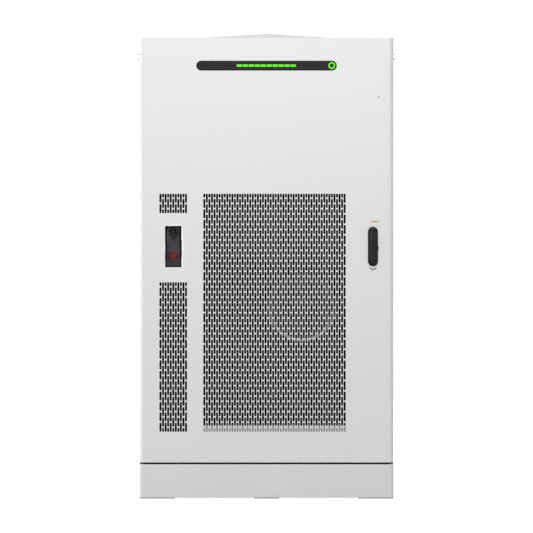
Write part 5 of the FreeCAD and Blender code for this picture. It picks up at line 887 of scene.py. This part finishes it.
def make_swing_handle():
    """Obround lock plate with a domed cap, and its crowned lever with key and release."""
    low, high, mid = span("lock_plate")
    lever_low, lever_high, lever = span("lock_lever")
    centre = (mid.x, mid.z)
    plate_front = high.y - 0.008
    cap_depth = plate_front - low.y
    outline = obround(high.x - low.x, high.z - low.z, 16)
    bm = bmesh.new()
    plate(bm, outline, centre, plate_front + 0.0014, high.y, mm((0.5, 0.9), (1, 0.5)))
    lower = set(bm.faces)
    crown = [(0.0007, cap_depth * 0.25), (0.0014, cap_depth * 0.2), (0.003, cap_depth * 0.15)]
    plate(bm, outline, centre, plate_front - cap_depth * 0.4, plate_front + 0.001, crown)
    cap = geometry_of(face for face in bm.faces if face not in lower)
    cut = bmesh.ops.bisect_plane(
        bm,
        geom=cap,
        dist=1e-6,
        plane_co=(0, 0, lever_high.z + 0.013),
        plane_no=(0, 0, 1),
        clear_inner=True,
    )
    bmesh.ops.contextual_create(bm, geom=only(cut["geom_cut"], EDGE))
    bmesh.ops.recalc_face_normals(bm, faces=bm.faces)
    finished(bm, "handle_plate", "lock_black", "door", ["lock_plate"])

    half = (lever_high.x - lever_low.x) / 2
    rear_y = lever_high.y
    depth = rear_y - lever_low.y
    spindle_z = lever_high.z - 0.006
    foot_z = lever_low.z + half
    outline = [Vector((half, 0, spindle_z)), Vector((-half, 0, spindle_z))]
    foot = Vector((0, 0, foot_z))
    foot_steps = 24
    outline += [foot + on_circle(180 * (1 + step / foot_steps), half) for step in range(foot_steps + 1)]
    crown = [(0.0006, depth * 0.12), (0.0012, depth * 0.1), (0.0026, depth * 0.09), (0.0052, depth * 0.05)]
    nose = [(0.0, -half), (0.0052, -half), (0.006, -half + 0.0008)]
    nose += [(0.006, half - 0.0008), (0.0052, half), (0.0, half)]
    thumb = obround(half * 1.1, half * 1.7, 12)
    thumb_place = (mid.x, lever_low.z + half * 1.15)
    catch_z = spindle_z - LEVER_CATCH_DROP
    catch_low = (lever_high.x - 0.002, rear_y - depth * 0.6, catch_z - 0.009)
    forms = [
        (plate, outline, (mid.x, 0.0), rear_y - depth * 0.62, rear_y, crown),
        (turned, nose, (mid.x, lever.y, spindle_z), "X", 32),
        (plate, thumb, thumb_place, lever_low.y + 0.0001, lever_low.y + 0.0012, (), 0.0006),
        (block, catch_low, (lever_high.x + 0.0059, rear_y - depth * 0.1, catch_z + 0.009), 0.0012),
    ]
    assembled("handle_lever", "lock_black", forms, "lever", replaces=["lock_lever"])

    keyhole = rounded_rectangle(0.0016, 0.007, 0.0006, 3)
    for name, body in (("key_cylinder", "key"), ("release_button", "release")):
        piece_low, piece_high, piece = span(name)
        face = piece_low.y
        radius = (piece_high.x - piece_low.x) / 2
        profile = [(0.0, 0.0012), (radius * 0.62, 0.0009), (radius * 0.7, 0.0), (radius * 0.92, 0.0)]
        profile += [(radius, 0.0006), (radius, piece_high.y - face), (0.0, piece_high.y - face)]
        forms = [(turned, profile, (mid.x, face, piece.z), "Y", 32)]
        if body == "key":
            forms.append((plate, keyhole, (mid.x, piece.z), face + 0.0006, face + 0.002))
        assembled(name + "_cap", "switch_black", forms, body, replaces=[name], material=KEY_BLACK)


def make_door_marks():
    """Plain amber stripe, grey turn mark and small grey stud beside the handle."""
    low, _, mid = span("lock_plate")
    face = DOOR_FACE_Y
    stripe_low = (STRIPE_X[0], face - 0.0004, STRIPE_Z[0])
    forms = [(block, stripe_low, (STRIPE_X[1], face + 0.0004, STRIPE_Z[1]), 0.0002, 1)]
    assembled("amber_stripe", "door_white", forms, "door", material=STRIPE_AMBER)
    forms = []
    for side in (-1, 1):
        place = (mid.x + side * 0.007, face, low.z - 0.0125)
        forms.append((tilted, (-0.0084, -0.0003, -0.0021), (0.0084, 0.0004, 0.0021), -28 * side, "Y", place))
    assembled("turn_mark", "door_white", forms, "door", material=MARK_GREY)
    stud = mm((0, -1.2), (1.8, -1), (3, 0), (3, 0.6), (0, 0.6))
    forms = [(turned, stud, (STUD_PLACE[0], face, STUD_PLACE[1]), "Y", 20)]
    assembled("door_stud", "door_white", forms, "door", material=MARK_GREY)


def make_lifting_bolts():
    """Chamfered hexagon bolts on washers, high on both sides."""
    low, high, mid = span("lifting_bolts")
    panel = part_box("right_side_panel")[1].x
    washer = mm((0, 0), (14.6, 0), (15, 0.5), (15, 2.5), (14.6, 3), (0, 3))
    head = mm((0, 3), (13.6, 3), (13.8, 11.5), (11.8, 13), (0, 13))
    forms = []
    for side in (-1, 1):
        for y in (low.y + 0.015, high.y - 0.015):
            for profile, steps in ((washer, 32), (head, 6)):
                outward = [(radius, side * reach) for radius, reach in profile]
                forms.append((turned, outward, (side * panel, y, mid.z), "X", steps))
    assembled("eye_bolt_plugs", "bolt_steel", forms, replaces=["lifting_bolts"], sharp=20.0)


# Fans


def make_rotor(name):
    """Axial rotor with bent, swept blades round a stepped hub."""
    low, high, centre = span(name)
    tip_radius = max(high.x - low.x, high.z - low.z) / 2
    hub_radius = tip_radius * HUB_SHARE[name]
    reach = tip_radius - hub_radius
    depth = high.y - low.y
    chord = BLADE_CHORD * reach
    stations = 6
    edge_radius = tip_radius * 0.998
    edge_y = depth / 2 - 0.0012
    bm = bmesh.new()
    hub = [(0.0, -0.5), (0.7, -0.5), (0.78, -0.47), (0.82, -0.36), (0.96, -0.33)]
    hub += [(1.0, -0.28), (1.0, 0.5), (0.0, 0.5)]
    turned(bm, [(across * hub_radius, along * depth) for across, along in hub], centre)
    for blade_angle in circle_degrees(BLADES):
        strip = []
        for step in range(-3, 4):
            bend = BLADE_BEND * chord * (1 - (step / 3) ** 2)
            strip.append(bm.verts.new((step / 6 * chord, bend, hub_radius * 0.96)))
        edges = [bm.edges.new(pair) for pair in zip(strip, strip[1:])]
        turn(bm, strip, BLADE_PITCH, "Z")
        for station in range(1, stations + 1):
            made = bmesh.ops.extrude_edge_only(bm, edges=edges)["geom"]
            edges = [edge for edge in only(made, EDGE) if all(vert not in strip for vert in edge.verts)]
            fresh = only(made, VERT)
            move(bm, fresh, (0, 0, reach * 0.97 / stations))
            bmesh.ops.scale(bm, verts=fresh, vec=(BLADE_WIDENING, 1.0, 1.0))
            turn(bm, fresh, BLADE_UNTWIST, "Z")
            turn(bm, fresh, BLADE_SWEEP * station / stations)
            strip += fresh
        turn(bm, strip, blade_angle)
        for vert in strip:
            factor = min(1.0, edge_radius / math.hypot(vert.co.x, vert.co.z))
            vert.co = (vert.co.x * factor, max(-edge_y, min(edge_y, vert.co.y)), vert.co.z * factor)
        faces = list({face for vert in strip for face in vert.link_faces})
        bmesh.ops.recalc_face_normals(bm, faces=faces)
        shell = bmesh.ops.solidify(bm, geom=faces, thickness=0.0012 + 0.006 * tip_radius)["geom"]
        skin = {vert for face in faces if face.is_valid for vert in face.verts}
        move(bm, list(skin.union(only(shell, VERT))), centre)
    finished(bm, name + "_rotor", "fan_black", name, [name])


def make_fan_guards():
    """Wire guards over the inverter's two fans: rings, spokes and four feet."""
    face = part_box("power_inverter")[0].y
    wire = 0.0011
    rings = 6
    spokes = 8
    radius = 0.073
    foot = mm((0, -2), (3.2, -1.2), (3.4, 4), (0, 4))
    section = [on_circle(degrees, wire) for degrees in circle_degrees(6)]
    for index in (1, 2):
        fan = span(f"inverter_fan_{index}")[2]
        centre = Vector((fan.x, face - 0.004, fan.z))
        forms = []
        for ring in range(1, rings + 1):
            circle = [(radius * ring / rings + point.x, point.z) for point in section]
            forms.append((turned, circle + circle[:1], centre, "Y", 40))
        for degrees in circle_degrees(spokes):
            low = (-wire, 0.0, radius / rings)
            forms.append((tilted, low, (wire, 2 * wire, radius), degrees + 180 / spokes, "Y", centre))
        for degrees in circle_degrees(4):
            forms.append((turned, foot, centre + on_circle(degrees + 45, radius), "Y", 16))
        assembled(f"fan_guard_{index}", "bolt_steel", forms)


def make_fan_surround():
    """Near-black lining on the climate unit's front plate, painted shade behind the slots, and the fan's
    dark bell mouth with a painted highlight on its upward-facing lower arc.
    """
    fan = span("climate_fan")[2]
    low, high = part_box("climate_case")
    coil_low, coil_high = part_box("climate_coil")
    thickness = 0.003
    hole = BELL_RADIUS + 0.011
    square = hole + 0.006
    margin = 0.026
    sides = 48
    left = low.x + 0.002
    right = high.x - 0.002
    bottom = low.z + 0.018
    top = high.z - 0.028
    window_x = (coil_low.x + margin, coil_high.x - margin)
    window_z = (coil_low.z + margin, coil_high.z - margin)
    bm = bmesh.new()
    for x0, x1, z0, z1 in (
        (left, fan.x - square, bottom, window_z[0]),
        (fan.x + square, right, bottom, window_z[0]),
        (fan.x - square, fan.x + square, bottom, fan.z - square),
        (fan.x - square, fan.x + square, fan.z + square, window_z[0]),
        (left, window_x[0], window_z[0], top),
        (window_x[1], right, window_z[0], top),
        (window_x[0], window_x[1], window_z[1], top),
    ):
        block(bm, (x0, low.y - thickness, z0), (x1, low.y, z1))
    ways = [on_circle(degrees) for degrees in circle_degrees(sides)]
    loops = []
    for reaches in ([hole] * sides, [square / max(abs(way.x), abs(way.z)) for way in ways]):
        middle = Vector((fan.x, low.y - thickness, fan.z))
        ring = [bm.verts.new(middle + way * reach) for way, reach in zip(ways, reaches)]
        loops += [bm.edges.new((ring[index - 1], ring[index])) for index in range(sides)]
    corner = bmesh.ops.bridge_loops(bm, edges=loops)["faces"]
    bmesh.ops.recalc_face_normals(bm, faces=corner)
    if corner[0].normal.y > 0:
        bmesh.ops.reverse_faces(bm, faces=corner)
    bmesh.ops.solidify(bm, geom=corner, thickness=thickness)
    # Near-black lining: painted shade seen through the grille's slots.
    finished(bm, "painted_shade_lining", "seal_foam", "door")
    lip = mm((0, 45), (0, 2), (1.8, -2), (5.3, -4.5), (10.3, -4.8))
    lip += mm((10.3, -3.8), (5.8, -3.3), (3, -1), (1.6, 3), (1.6, 45))
    lip = [(BELL_RADIUS + radius, reach) for radius, reach in lip + lip[:1]]
    forms = [(turned, lip, (fan.x, low.y, fan.z), "Y", 72)]
    # The bell mouth's pale upward faces are a painted highlight.
    assembled("fan_bell_mouth", "climate_dark", forms, "door", material=BELL_PAINTED_HIGHLIGHT)


# Body and equipment


def make_painted_seam_shadow():
    """Black fill in the seam under the door, with a thin lip on the plinth's top edge: painted shadow of the
    seam.
    """
    low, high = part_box("plinth_cover")
    door_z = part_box("door_skin")[0].z
    strip = (low.x + 0.003, low.y + 0.0012, high.z), (high.x - 0.003, low.y + 0.0142, door_z - 0.0004)
    lip = (low.x + 0.016, low.y - 0.0006, high.z - 0.0012), (high.x - 0.016, low.y + 0.0012, high.z + 0.0006)
    # Painted shadow: the seam is filled and edged in black.
    assembled("painted_seam_shadow", "seal_foam", [(block, *strip), (block, *lip)])


def make_grille_backing():
    """Near-black mats behind the narrow field as painted shade behind its slots, and a sill under the wide
    one whose grey is painted shade on a white-painted part.
    """
    mat_y = DOOR_FACE_Y + SHEET + 0.0004
    left = STRIP_FIRST_X - COLUMN_PITCH
    right = STRIP_FIRST_X + STRIP_COLUMNS * COLUMN_PITCH
    mats = []
    for first, last in ((0, STRIP_LOWER_HALF_ROWS), (STRIP_UPPER_START, MAIN_HALF_ROWS)):
        mat_low = (left, mat_y, ROWS[first] - 0.006)
        mats.append((block, mat_low, (right, mat_y + 0.008, ROWS[last] + 0.006), 0.001, 1))
    # Near-black mats: painted shade behind the narrow field's slots.
    assembled("painted_shade_mats", "seal_foam", mats, "door")
    bottom, shelf, top = SILL_Z
    sill = []
    for z0, z1, reach in ((shelf, top, 0.0075), (bottom, shelf, 0.023)):
        sill_low = (SILL_X[0], DOOR_FACE_Y + 0.006, z0)
        sill.append((block, sill_low, (SILL_X[1], DOOR_FACE_Y + reach, z1), 0.0004, 1))
    # The sill belongs to the white door; its mid grey is painted shade for its place behind the slots.
    assembled("grille_sill_painted_shade", "door_white", sill, "door", material=MATERIALS["equipment_grey"])


def screw(bm, place, radius, outward=-1):
    """Low cross-head screw on a face that looks to the front or the back."""
    profile = [(0.0, 0.35), (0.3, 0.35), (0.34, 0.55), (0.8, 0.5), (1.0, 0.05), (1.0, -0.2), (0.0, -0.2)]
    turned(bm, [(across * radius, outward * up * radius) for across, up in profile], place, "Y", 12)


def corner_screws(bm, name, face, inset, radius):
    """Screws near the four corners of a node's front."""
    low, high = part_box(name)
    for x in (low.x + inset, high.x - inset):
        for z in (low.z + inset, high.z - inset):
            screw(bm, (x, face, z), radius)


def hexagon_bolt(bm, place, size):
    """Bolt head on its washer, on a face that looks to the front."""
    rim = size * 1.4
    top = size * -0.9
    washer = [(0.0, -0.0014), (size * 1.35, -0.0014), (rim, -0.001), (rim, 0.0), (0.0, 0.0)]
    turned(bm, washer, place, "Y", 24)
    head = [(0.0, top), (size * 0.86, top), (size, size * -0.78), (size, -0.0012), (0.0, -0.0012)]
    turned(bm, head, place, "Y", 6)


def make_module_faces():
    """Cell vents, screws, lights and terminal bolts on the battery module fronts."""
    link_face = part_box("module_links")[0].y
    vent = rounded_rectangle(0.012, 0.005, 0.0024, 3)
    vent_pitch_x = 0.017
    vent_pitch_z = 0.016
    light = rounded_rectangle(0.006, 0.003, 0.0012, 3)
    light_pitch = 0.01
    light_drop = 0.036
    for index in range(MODULES):
        name = f"battery_module_{index + 1}"
        low, high, mid = span(name)
        front = low.y + TERMINAL_STEP
        places = [(x, z) for z in row_of(6, vent_pitch_z, mid.z) for x in row_of(9, vent_pitch_x, mid.x)]
        vents = [(plate, vent, place, front - 0.0002, front + 0.0006) for place in places]
        assembled(f"module_vents_{index + 1}", "module_case", vents, material=SWITCH_BLACK)
        bolts = [(corner_screws, name, front, 0.016, 0.0045)]
        for side, x in enumerate((low.x + TERMINAL_INSET, high.x - TERMINAL_INSET)):
            first = index if index % 2 == side else index - 1
            linked = 0 <= first < MODULES - 1
            bolts.append((hexagon_bolt, (x, link_face if linked else low.y, mid.z), TERMINAL_BOLT))
        assembled(f"module_bolts_{index + 1}", "bolt_steel", bolts)
        places = [(x, high.z - light_drop) for x in row_of(4, light_pitch, mid.x)]
        lights = [(plate, light, place, front - 0.0006, front + 0.0004) for place in places]
        assembled(f"module_lights_{index + 1}", "display_green", lights)


def make_switching_front():
    """Screws, terminal bolts and air slots on the switching box."""
    low, high, mid = span("high_voltage_box")
    front = low.y + TERMINAL_STEP
    bolts = [(corner_screws, "high_voltage_box", front, 0.014, 0.0042)]
    for x in (low.x + TERMINAL_INSET, high.x - TERMINAL_INSET):
        bolts.append((hexagon_bolt, (x, low.y, mid.z), TERMINAL_BOLT))
    assembled("switching_bolts", "bolt_steel", bolts)
    slot = rounded_rectangle(0.052, 0.004, 0.0019, 3)
    places = [(mid.x + side, low.z + 0.03 + row * 0.009) for side in (-0.088, 0.088) for row in range(4)]
    vents = [(plate, slot, place, front - 0.0002, front + 0.0006) for place in places]
    assembled("switching_vents", "module_case", vents, material=SWITCH_BLACK)


def make_inverter_front():
    """Status window, lights, screws and connector row on the inverter."""
    low, high, mid = span("power_inverter")
    face = low.y
    row_z = high.z - 0.062
    screws = [(corner_screws, "power_inverter", face, 0.014, 0.0042)]
    screws += [(screw, (x, face, mid.z), 0.0042) for x in (low.x + 0.014, high.x - 0.014)]
    assembled("inverter_screws", "bolt_steel", screws)
    outline = rounded_rectangle(0.13, 0.044, 0.005)
    window = [(plate, outline, (mid.x, row_z), face - 0.0012, face, mm((0.8, 0.8)))]
    assembled("inverter_window", "display_black", window)
    lamp = mm((0, -0.8), (1.8, -0.6), (2.4, 0.2), (0, 0.2))
    places = [(x, face - 0.002, row_z) for x in row_of(3, 0.011, mid.x + 0.045)]
    assembled("inverter_lights", "display_green", [(turned, lamp, place, "Y", 16) for place in places])
    socket = mm((0, -12), (6.2, -12), (6.2, -16), (7.4, -16.5), (8.6, -16))
    socket += mm((8.6, -4), (10.2, -3.5), (10.2, 0), (0, 0))
    places = [(x, face, row_z) for side in (-0.179, 0.179) for x in row_of(3, 0.024, mid.x + side)]
    assembled("inverter_sockets", "gland_black", [(turned, socket, place, "Y", 24) for place in places])


def make_breaker_front():
    """Hinged front, toggle frame and a row of branch breakers on the breaker panel."""
    low, high, mid = span("breaker_panel")
    face = low.y
    trim = []
    for side in (-1, 1):
        for x, z, half in ((0.01975, 0.0, (0.00425, 0.041)), (0.0, 0.03675, (0.0155, 0.00425))):
            place = (mid.x + side * x, mid.z + side * z)
            trim.append((slab, place, half, face - 0.0025, face, 0.0008))
    knuckle = mm((0, -20), (3.8, -20), (4.2, -19.5), (4.2, 19.5), (3.8, 20), (0, 20))
    for z in (low.z + 0.06, high.z - 0.06):
        trim.append((turned, knuckle, (low.x + 0.008, face - 0.003, z), "Z", 24))
    latch = mm((0, -6), (9, -6), (11, -4.5), (11.5, 0), (0, 0))
    trim.append((turned, latch, (high.x - 0.024, face, mid.z), "Y", 32))
    assembled("breaker_trim", "gland_black", trim)
    row_z = mid.z - 0.105
    count = 10
    pitch = 0.0178
    row = row_of(count, pitch, mid.x)
    outline = rounded_rectangle(count * pitch + 0.012, 0.066, 0.004)
    breakers = [(plate, outline, (mid.x, row_z), face - 0.0012, face, mm((0.8, 0.8)))]
    breakers += [(slab, (x, row_z), (0.0084, 0.0225), face - 0.006, face - 0.001, 0.0006) for x in row]
    assembled("branch_breakers", "panel_grey", breakers)
    lever = (tilted, (-0.0045, -0.0095, -0.004), (0.0045, 0.002, 0.004), -24, "X")
    levers = [(*lever, (x, face - 0.005, row_z + 0.003), 0.001) for x in row]
    assembled("branch_levers", "switch_black", levers)
    assembled("breaker_screws", "bolt_steel", [(corner_screws, "breaker_panel", face, 0.014, 0.004)])


def make_control_front():
    """Plug connectors, ports, lights and screws on the controller."""
    low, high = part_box("control_unit")
    face = low.y
    row_z = high.z - 0.024
    row = row_of(7, 0.0225, low.x + 0.1015)
    plugs = [(slab, (x, row_z), (0.0095, 0.0055), face - 0.008, face, 0.0008) for x in row]
    assembled("controller_plugs", "equipment_grey", plugs, material=TERMINAL_GREEN)
    pin = mm((0, 0), (1.4, -0.2), (1.9, -0.2), (2.1, 0.6), (0, 0.6))
    places = [(x, face - 0.008, row_z) for middle in row for x in row_of(3, 0.006, middle)]
    screws = [(turned, pin, place, "Y", 10) for place in places]
    screws.append((corner_screws, "control_unit", face, 0.011, 0.0036))
    assembled("controller_screws", "bolt_steel", screws)
    port = rounded_rectangle(0.0165, 0.0145, 0.001, 3)
    places = [(x, row_z) for x in row_of(4, 0.021, high.x - 0.1065)]
    ports = [(plate, port, place, face - 0.0012, face, mm((0.4, 0.4))) for place in places]
    assembled("controller_ports", "gland_black", ports)
    lamp = mm((0, -1.4), (1.2, -1.1), (1.8, 0), (0, 0))
    places = [(x, face, z) for z in row_of(2, 0.011, row_z) for x in row_of(2, 0.012, high.x - 0.038)]
    assembled("controller_lights", "display_green", [(turned, lamp, place, "Y", 14) for place in places])


def make_canister_fittings():
    """Straps, gauge and valve lever of the extinguishing canister."""
    low, high, mid = span("fire_canister")
    radius = (high.x - low.x) / 2
    y = high.y - radius
    front = y - radius
    band = mm((-0.4, -12), (1, -11.8), (1.4, -10.5), (1.4, 10.5), (1, 11.8), (-0.4, 12))
    band = [(radius + rise, reach) for rise, reach in band + band[:1]]
    straps = []
    for z in (low.z + 0.085, low.z + 0.235):
        straps.append((turned, band, (mid.x, y, z), "Z", 64))
        straps.append((slab, (mid.x, z), (0.011, 0.013), front - 0.008, front + 0.002, 0.002))
    place = (mid.x, y, high.z + 0.008)
    straps.append((tilted, (-0.011, -0.052, -0.002), (0.011, 0.02, 0.002), -9, "X", place, 0.001))
    assembled("canister_straps", "bolt_steel", straps)
    stem = mm((0, -2), (12, -2), (12, 6), (0, 6))
    gauge = mm((0, 1.5), (12.5, 1.5), (13.5, 0), (15.5, -0.4), (16, 1), (16, 9))
    gauge.append((0.0, 0.009))
    forms = [
        (turned, stem, (mid.x, y, high.z), "Z", 24),
        (turned, gauge, (mid.x - 0.03, y - 0.024, high.z - 0.012), "Y", 32),
        (slab, (mid.x - 0.024, high.z - 0.012), (0.01, 0.004), y - 0.016, y - 0.008, 0.001),
    ]
    assembled("canister_gauge", "gland_black", forms)


def make_detector_slots():
    """Smoke slots round the detector and its small light."""
    low, _, mid = span("smoke_detector")
    slot = (tilted, (0.0425, -0.0042, -0.004), (0.0462, 0.0042, 0.004))
    place = (mid.x, mid.y, low.z + 0.0185)
    slots = [(*slot, degrees, "Z", place, 0.0008, 1) for degrees in circle_degrees(20)]
    assembled("detector_slots", "gland_black", slots)
    lamp = mm((0, -1.2), (1.6, -0.9), (2.2, 0.4), (0, 0.4))
    light = (turned, lamp, (mid.x + 0.012, mid.y - 0.014, low.z), "Z", 14)
    assembled("detector_light", "display_green", [light])


def make_earth_bolts():
    """Bolts in the holes of the earth bar."""
    low, high, mid = span("earth_bar")
    count = 6
    holes = [(x, low.y, high.z - 0.013) for x in row_of(count, (high.x - low.x) / count, mid.x)]
    assembled("earth_bolts", "bolt_steel", [(hexagon_bolt, place, 0.0058) for place in holes])


def make_climate_screws():
    """Screws round the climate unit's back cover."""
    low, high, mid = span("climate_case")
    inset = 0.02
    screws = []
    for x in (low.x + 0.014, high.x - 0.014):
        for z in row_of(6, (high.z - low.z - 2 * inset) / 5, mid.z):
            screws.append((screw, (x, high.y, z), 0.004, 1))
    for x in row_of(3, (high.x - low.x) / 4, mid.x):
        for z in (low.z + inset, high.z - inset):
            screws.append((screw, (x, high.y, z), 0.004, 1))
    assembled("climate_screws", "bolt_steel", screws, "door")


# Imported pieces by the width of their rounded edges
EASED_PIECES = {
    0.0: "base_frame plinth_cover",
    0.0003: "window_hinge upper_rod lower_rod",
    0.0004: "floor_plate gland_plate left_side_panel right_side_panel rear_panel rod_guides earth_bar",
    0.0005: "front_frame rear_frame door_frame equipment_rack",
    0.0006: "roof_cover hinge_arms rod_keepers lock_case climate_case breaker_panel control_unit",
    0.0008: "foot_pads cable_glands high_voltage_box power_inverter",
    0.001: "breaker_toggle",
    0.0012: "module_links isolator_knob",
    0.0015: "side_rails smoke_detector",
    0.0025: "fire_canister",
}
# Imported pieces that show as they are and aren't finished like their slot
PLAIN_FINISHES = {"lock_spindle": "lock_black", "stop_stem": "switch_black"}


# Studio


def seen_rays(tree):
    """One for rays that see the surroundings straight, mirrored or through glass."""
    path = node(tree, "ShaderNodeLightPath").outputs
    seen = math_node(tree, "MAXIMUM", path["Is Camera Ray"], path["Is Glossy Ray"])
    return math_node(tree, "MAXIMUM", seen, path["Is Transmission Ray"])


def make_studio():
    """White surroundings and a pale floor."""
    world = bpy.data.worlds.new("studio")
    bpy.context.scene.world = world
    world.use_nodes = True
    tree = world.node_tree
    background = tree.nodes["Background"].inputs
    strength = math_node(tree, "MULTIPLY_ADD", seen_rays(tree), 1.0 - WORLD_LEVEL, WORLD_LEVEL)
    feed(tree, background["Strength"], strength)
    feed(tree, background["Color"], WHITE)

    bm = bmesh.new()
    bmesh.ops.create_grid(bm, x_segments=1, y_segments=1, size=40.0)
    mesh = bpy.data.meshes.new("studio_floor")
    bm.to_mesh(mesh)
    bm.free()
    floor = bpy.data.objects.new("studio_floor", mesh)
    bpy.context.scene.collection.objects.link(floor)
    material, tree = new_material("studio_floor")
    glow = math_node(tree, "MULTIPLY", seen_rays(tree), FLOOR_GLOW)
    look = {"Roughness": 0.9, "Specular_IOR_Level": 0.1, "Emission_Color": WHITE, "Emission_Strength": glow}
    floor.data.materials.append(dressed(material, Base_Color=(0.4, 0.4, 0.4, 1.0), **look))


def area_light(name, place, target, size, power):
    """Soft oblong lamp that points at a target."""
    lamp = bpy.data.lights.new(name, "AREA")
    lamp.shape = "RECTANGLE"
    lamp.size = size[0]
    lamp.size_y = size[1]
    lamp.energy = power
    holder = bpy.data.objects.new(name, lamp)
    holder.location = place
    holder.rotation_euler = (Vector(target) - Vector(place)).to_track_quat("-Z", "Y").to_euler()
    bpy.context.scene.collection.objects.link(holder)


def make_camera():
    """Level camera on the middle axis, with a long lens."""
    lens = bpy.data.cameras.new("camera")
    lens.sensor_width = SENSOR
    lens.lens = SENSOR * CAMERA_DISTANCE / (PHOTO_WIDTH * PIXEL)
    lens.clip_end = 200.0
    camera = bpy.data.objects.new("camera", lens)
    camera.location = (0.0, DOOR_FACE_Y - CAMERA_DISTANCE, CAMERA_HEIGHT)
    camera.rotation_euler = (math.pi / 2, 0.0, 0.0)
    bpy.context.scene.collection.objects.link(camera)
    bpy.context.scene.camera = camera


bpy.context.scene.view_settings.view_transform = "Standard"
make_camera()
make_studio()
area_light("key_light", (-0.3, -7.0, 4.4), (0.0, -0.5, 1.3), (3.0, 3.0), 290.0)
area_light("top_light", (0.0, -2.6, 5.2), (0.0, -0.4, 1.7), (3.0, 1.6), 38.0)
area_light("left_light", (-3.6, 0.05, 1.2), (-0.5, -0.5, 1.0), (1.6, 3.0), 76.0)
area_light("right_light", (3.4, 4.4, 1.8), (0.5, 0.4, 1.1), (1.6, 3.0), 52.0)
area_light("rear_light", (1.0, 7.0, 4.2), (0.0, 0.5, 1.1), (3.0, 3.0), 200.0)

make_door_sheet()
make_display()
make_switch_pocket()
make_switches()
make_window_cover()
make_swing_handle()
make_door_marks()
make_lifting_bolts()
make_painted_seam_shadow()
make_grille_backing()
make_fan_surround()
for rotor in HUB_SHARE:
    make_rotor(rotor)
make_fan_guards()
make_module_faces()
make_switching_front()
make_inverter_front()
make_breaker_front()
make_control_front()
make_canister_fittings()
make_detector_slots()
make_earth_bolts()
make_climate_screws()
for width, names in EASED_PIECES.items():
    for name in names.split():
        softened(name, width, ROOF_WHITE if name == "roof_cover" else None)
for name, item in frame["nodes"].items():
    if not item.hide_render:
        item.data.materials.clear()
        item.data.materials.append(MATERIALS[PLAIN_FINISHES.get(name, NODE_SLOTS[name])])
